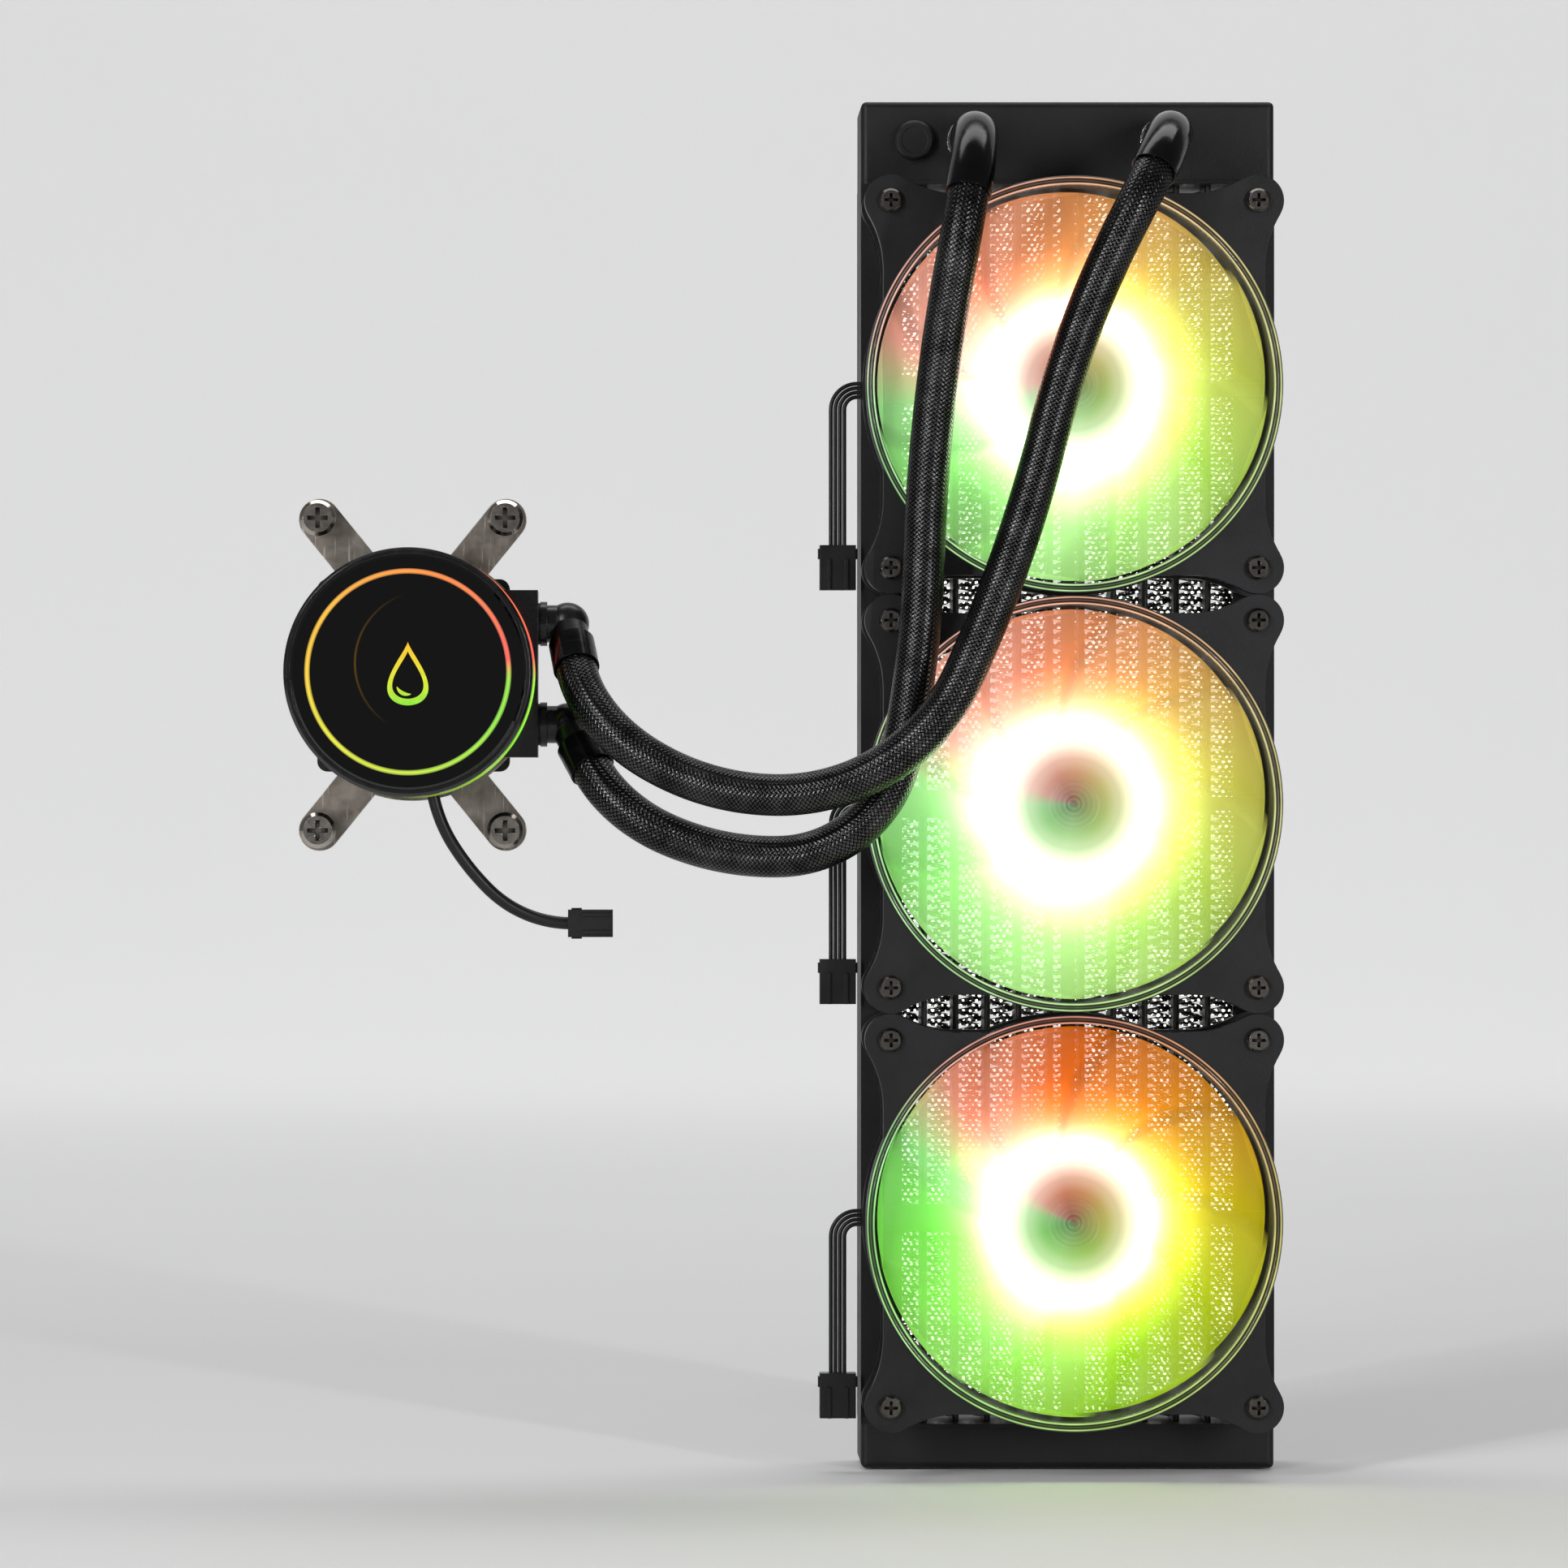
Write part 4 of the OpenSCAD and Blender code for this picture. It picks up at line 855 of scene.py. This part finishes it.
# ---- Water-drop badge on the pump's lens: a plain sign for a liquid cooler ----

def drop_outline(width, height):
    """A drop: a round foot drawn up to a point."""
    t = np.linspace(0, 2 * math.pi, 64, endpoint=False)
    x = width / 2 * np.sin(t) * np.sin(t / 2) ** 1.6 * 1.25
    y = height / 2 * np.cos(t)
    return np.stack([x, y], axis=1)


drop_width = 13.5
drop_height = 18.0


def badge_material():
    """Light that turns from green at the foot of the drop to amber at its tip."""
    look = Look("badge_light")
    height = look.minus(look.math("DIVIDE", look.where()["Z"], MM), float(pump_centre[1]))
    share = look.span(height, -drop_height / 2, drop_height / 2)
    tone = look.ramp(share, [(0.0, "#86e032"), (0.4, "#d8e028"), (1.0, "#f8b424")])
    look.set(Base_Color=colour("#302a10"), Roughness=0.3, Emission_Color=tone,
             Emission_Strength=look.span(look.noise(500, 2), 0.3, 0.7, 0.95, 1.15))
    return look.material


def band(outer, inner, low, high):
    """A flat closed band between two outlines with the same number of points."""
    count = len(outer)
    loops = [(outer, low), (outer, high), (inner, high), (inner, low)]
    points = np.concatenate([np.column_stack([p, np.full(count, z)]) for p, z in loops])
    return points, grid_faces(4, count, wrap_rows=True)


def crescent(centre, radius, thick, start, end):
    """A curved sliver of light: its outline, thickest in the middle, between two angles in degrees."""
    count, blunt = 24, 0.15
    t = np.linspace(math.radians(start), math.radians(end), count)
    line = np.stack([radius * np.cos(t), radius * np.sin(t)], axis=1) + centre
    half = thick / 2 * np.sin(np.linspace(blunt, math.pi - blunt, count))[:, None]
    outward = unit_rows(line - centre)
    return np.concatenate([line + outward * half, (line - outward * half)[::-1]])


def make_badge():
    """A drop's outline with a gleam inside its foot, standing just proud of the lens."""
    low, high = lens_top - 0.05, lens_top + 0.12
    outer = drop_outline(drop_width, drop_height)
    inner = drop_outline(drop_width - 3.2, drop_height - 4.4) + np.array([0, -0.35])
    gleam = crescent(np.array([0, -2.6]), 3.3, 1.1, 200, 285)
    count = len(gleam)
    solid = np.concatenate([np.column_stack([gleam, np.full(count, z)]) for z in (low, high)])
    solid_faces = grid_faces(2, count) + [list(range(count))[::-1], list(range(count, 2 * count))]
    points, faces = joined([band(outer, inner, low, high), (solid, solid_faces)])
    points = points + np.array([pump_centre[0], pump_centre[1] - 0.5, 0])
    piece = make_piece("drop_badge", points, faces, badge_material(), smooth=False)
    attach(piece, "pump_head")


# ---- Dress the CAD nodes ----

def dress_nodes(materials):
    """Puts each slot's material on the CAD nodes that carry that slot."""
    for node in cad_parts.values():
        for index, old in enumerate(node.data.materials):
            node.data.materials[index] = materials[old.name.split(".")[0]]


# ---- Studio ----

def make_stage():
    """A pale floor that curves up into a backdrop, with room for a camera between it and the part."""
    gap_below = 0.0005
    half_width, near, far, top, bend = 5.0, -4.5, 3.6, 4.0, 1.6
    floor = cad_box[0][2] - gap_below
    steps = [(near, floor)]
    for a in np.linspace(0, math.pi / 2, 24):
        steps.append((far - bend + bend * math.sin(a), floor + bend - bend * math.cos(a)))
    steps.append((far, top))
    verts = [(x, y, z) for y, z in steps for x in (-half_width, half_width)]
    mesh = bpy.data.meshes.new("studio_floor")
    mesh.from_pydata(verts, [], grid_faces(len(steps), 2, wrap_columns=False))
    mesh.polygons.foreach_set("use_smooth", [True] * len(mesh.polygons))
    look = Look("studio_paper")
    depth = look.math("ABSOLUTE", look.node("ShaderNodeSeparateXYZ", {"Vector": look.place}).outputs["Y"])
    look.set(Base_Color=look.mix(look.noise(3, 2), colour("#e9e9e8"), colour("#e4e4e5")), Roughness=0.85,
             Emission_Color=colour("#f0f0f0"), Emission_Strength=look.span(depth, 0.3, 2.2, 0.0, 0.48))
    mesh.materials.append(look.material)
    stage = bpy.data.objects.new("studio_floor", mesh)
    bpy.context.scene.collection.objects.link(stage)


def area_light(name, place, target, size, power):
    light = bpy.data.lights.new(name, "AREA")
    light.shape = "RECTANGLE"
    light.size, light.size_y = size
    light.energy = power
    lamp = bpy.data.objects.new(name, light)
    lamp.location = place
    aim = Vector(np.subtract(target, place))
    lamp.rotation_euler = aim.to_track_quat("-Z", "Y").to_euler()
    bpy.context.scene.collection.objects.link(lamp)


def make_sky():
    """An even pale world: bright where the camera sees it, and dim as a light on the part."""
    lit, seen = 0.16, 0.7
    world = bpy.data.worlds.new("studio")
    world.use_nodes = True
    tree = world.node_tree
    background = tree.nodes["Background"]
    background.inputs["Color"].default_value = colour("#f4f5f7")
    strength = tree.nodes.new("ShaderNodeMapRange")
    strength.inputs["To Min"].default_value = lit
    strength.inputs["To Max"].default_value = seen
    camera_ray = tree.nodes.new("ShaderNodeLightPath").outputs["Is Camera Ray"]
    tree.links.new(camera_ray, strength.inputs["Value"])
    tree.links.new(strength.outputs[0], background.inputs["Strength"])
    bpy.context.scene.world = world


def make_lights():
    """A soft key light, and two narrow strips that draw the highlights along the hoses."""
    middle = (-0.08, 0, 0)
    area_light("key", (-1.3, -1.5, 1.1), middle, (0.35, 0.9), 12)
    area_light("left_strip", (-1.0, -1.4, 0.22), middle, (0.05, 0.6), 9)
    area_light("right_strip", (0.85, -1.4, 0.22), middle, (0.05, 0.6), 9)
    area_light("above", (0.0, 0.4, 1.4), (0.0, 0.3, 0.0), (1.8, 0.5), 10)
    bpy.context.scene.view_settings.view_transform = "Standard"
    bpy.context.scene.view_settings.look = "None"


def make_camera():
    """The photograph's viewpoint: square on to the fans, level with the middle one, to the left of it."""
    camera = bpy.data.cameras.new("camera")
    camera.sensor_width = 36.0
    camera.lens = 128.5
    camera.shift_x = 0.101
    camera.shift_y = 0.0147
    camera.clip_start = 0.05
    eye = bpy.data.objects.new("camera", camera)
    eye.location = (-0.1283, -1.652, -0.0009)
    eye.rotation_euler = (math.radians(90), 0, 0)
    bpy.context.scene.collection.objects.link(eye)
    bpy.context.scene.camera = eye


def main():
    materials = {name: look.material for name, look in plain_materials().items()}
    materials["fin_metal"] = fin_material()
    materials["mirror_black"] = lens_material()
    materials["light_face"] = light_material("light_face", 1.15, 1.15, face_ring_r)
    materials["light_side"] = light_material("light_side", 0.05, 1.2)
    materials["braid"] = braid_material()
    # The CAD's impellers aren't shown, so their slot takes the material of another white plastic.
    materials["frosted_plastic"] = materials["rotor_plastic"]
    dress_nodes(materials)
    make_impellers()
    make_lips()
    make_fins(materials["fin_metal"])
    make_hoses(materials["hose_rubber"], materials["braid"])
    make_springs(materials["spring_steel"])
    make_badge()
    make_stage()
    make_sky()
    make_lights()
    make_camera()


main()
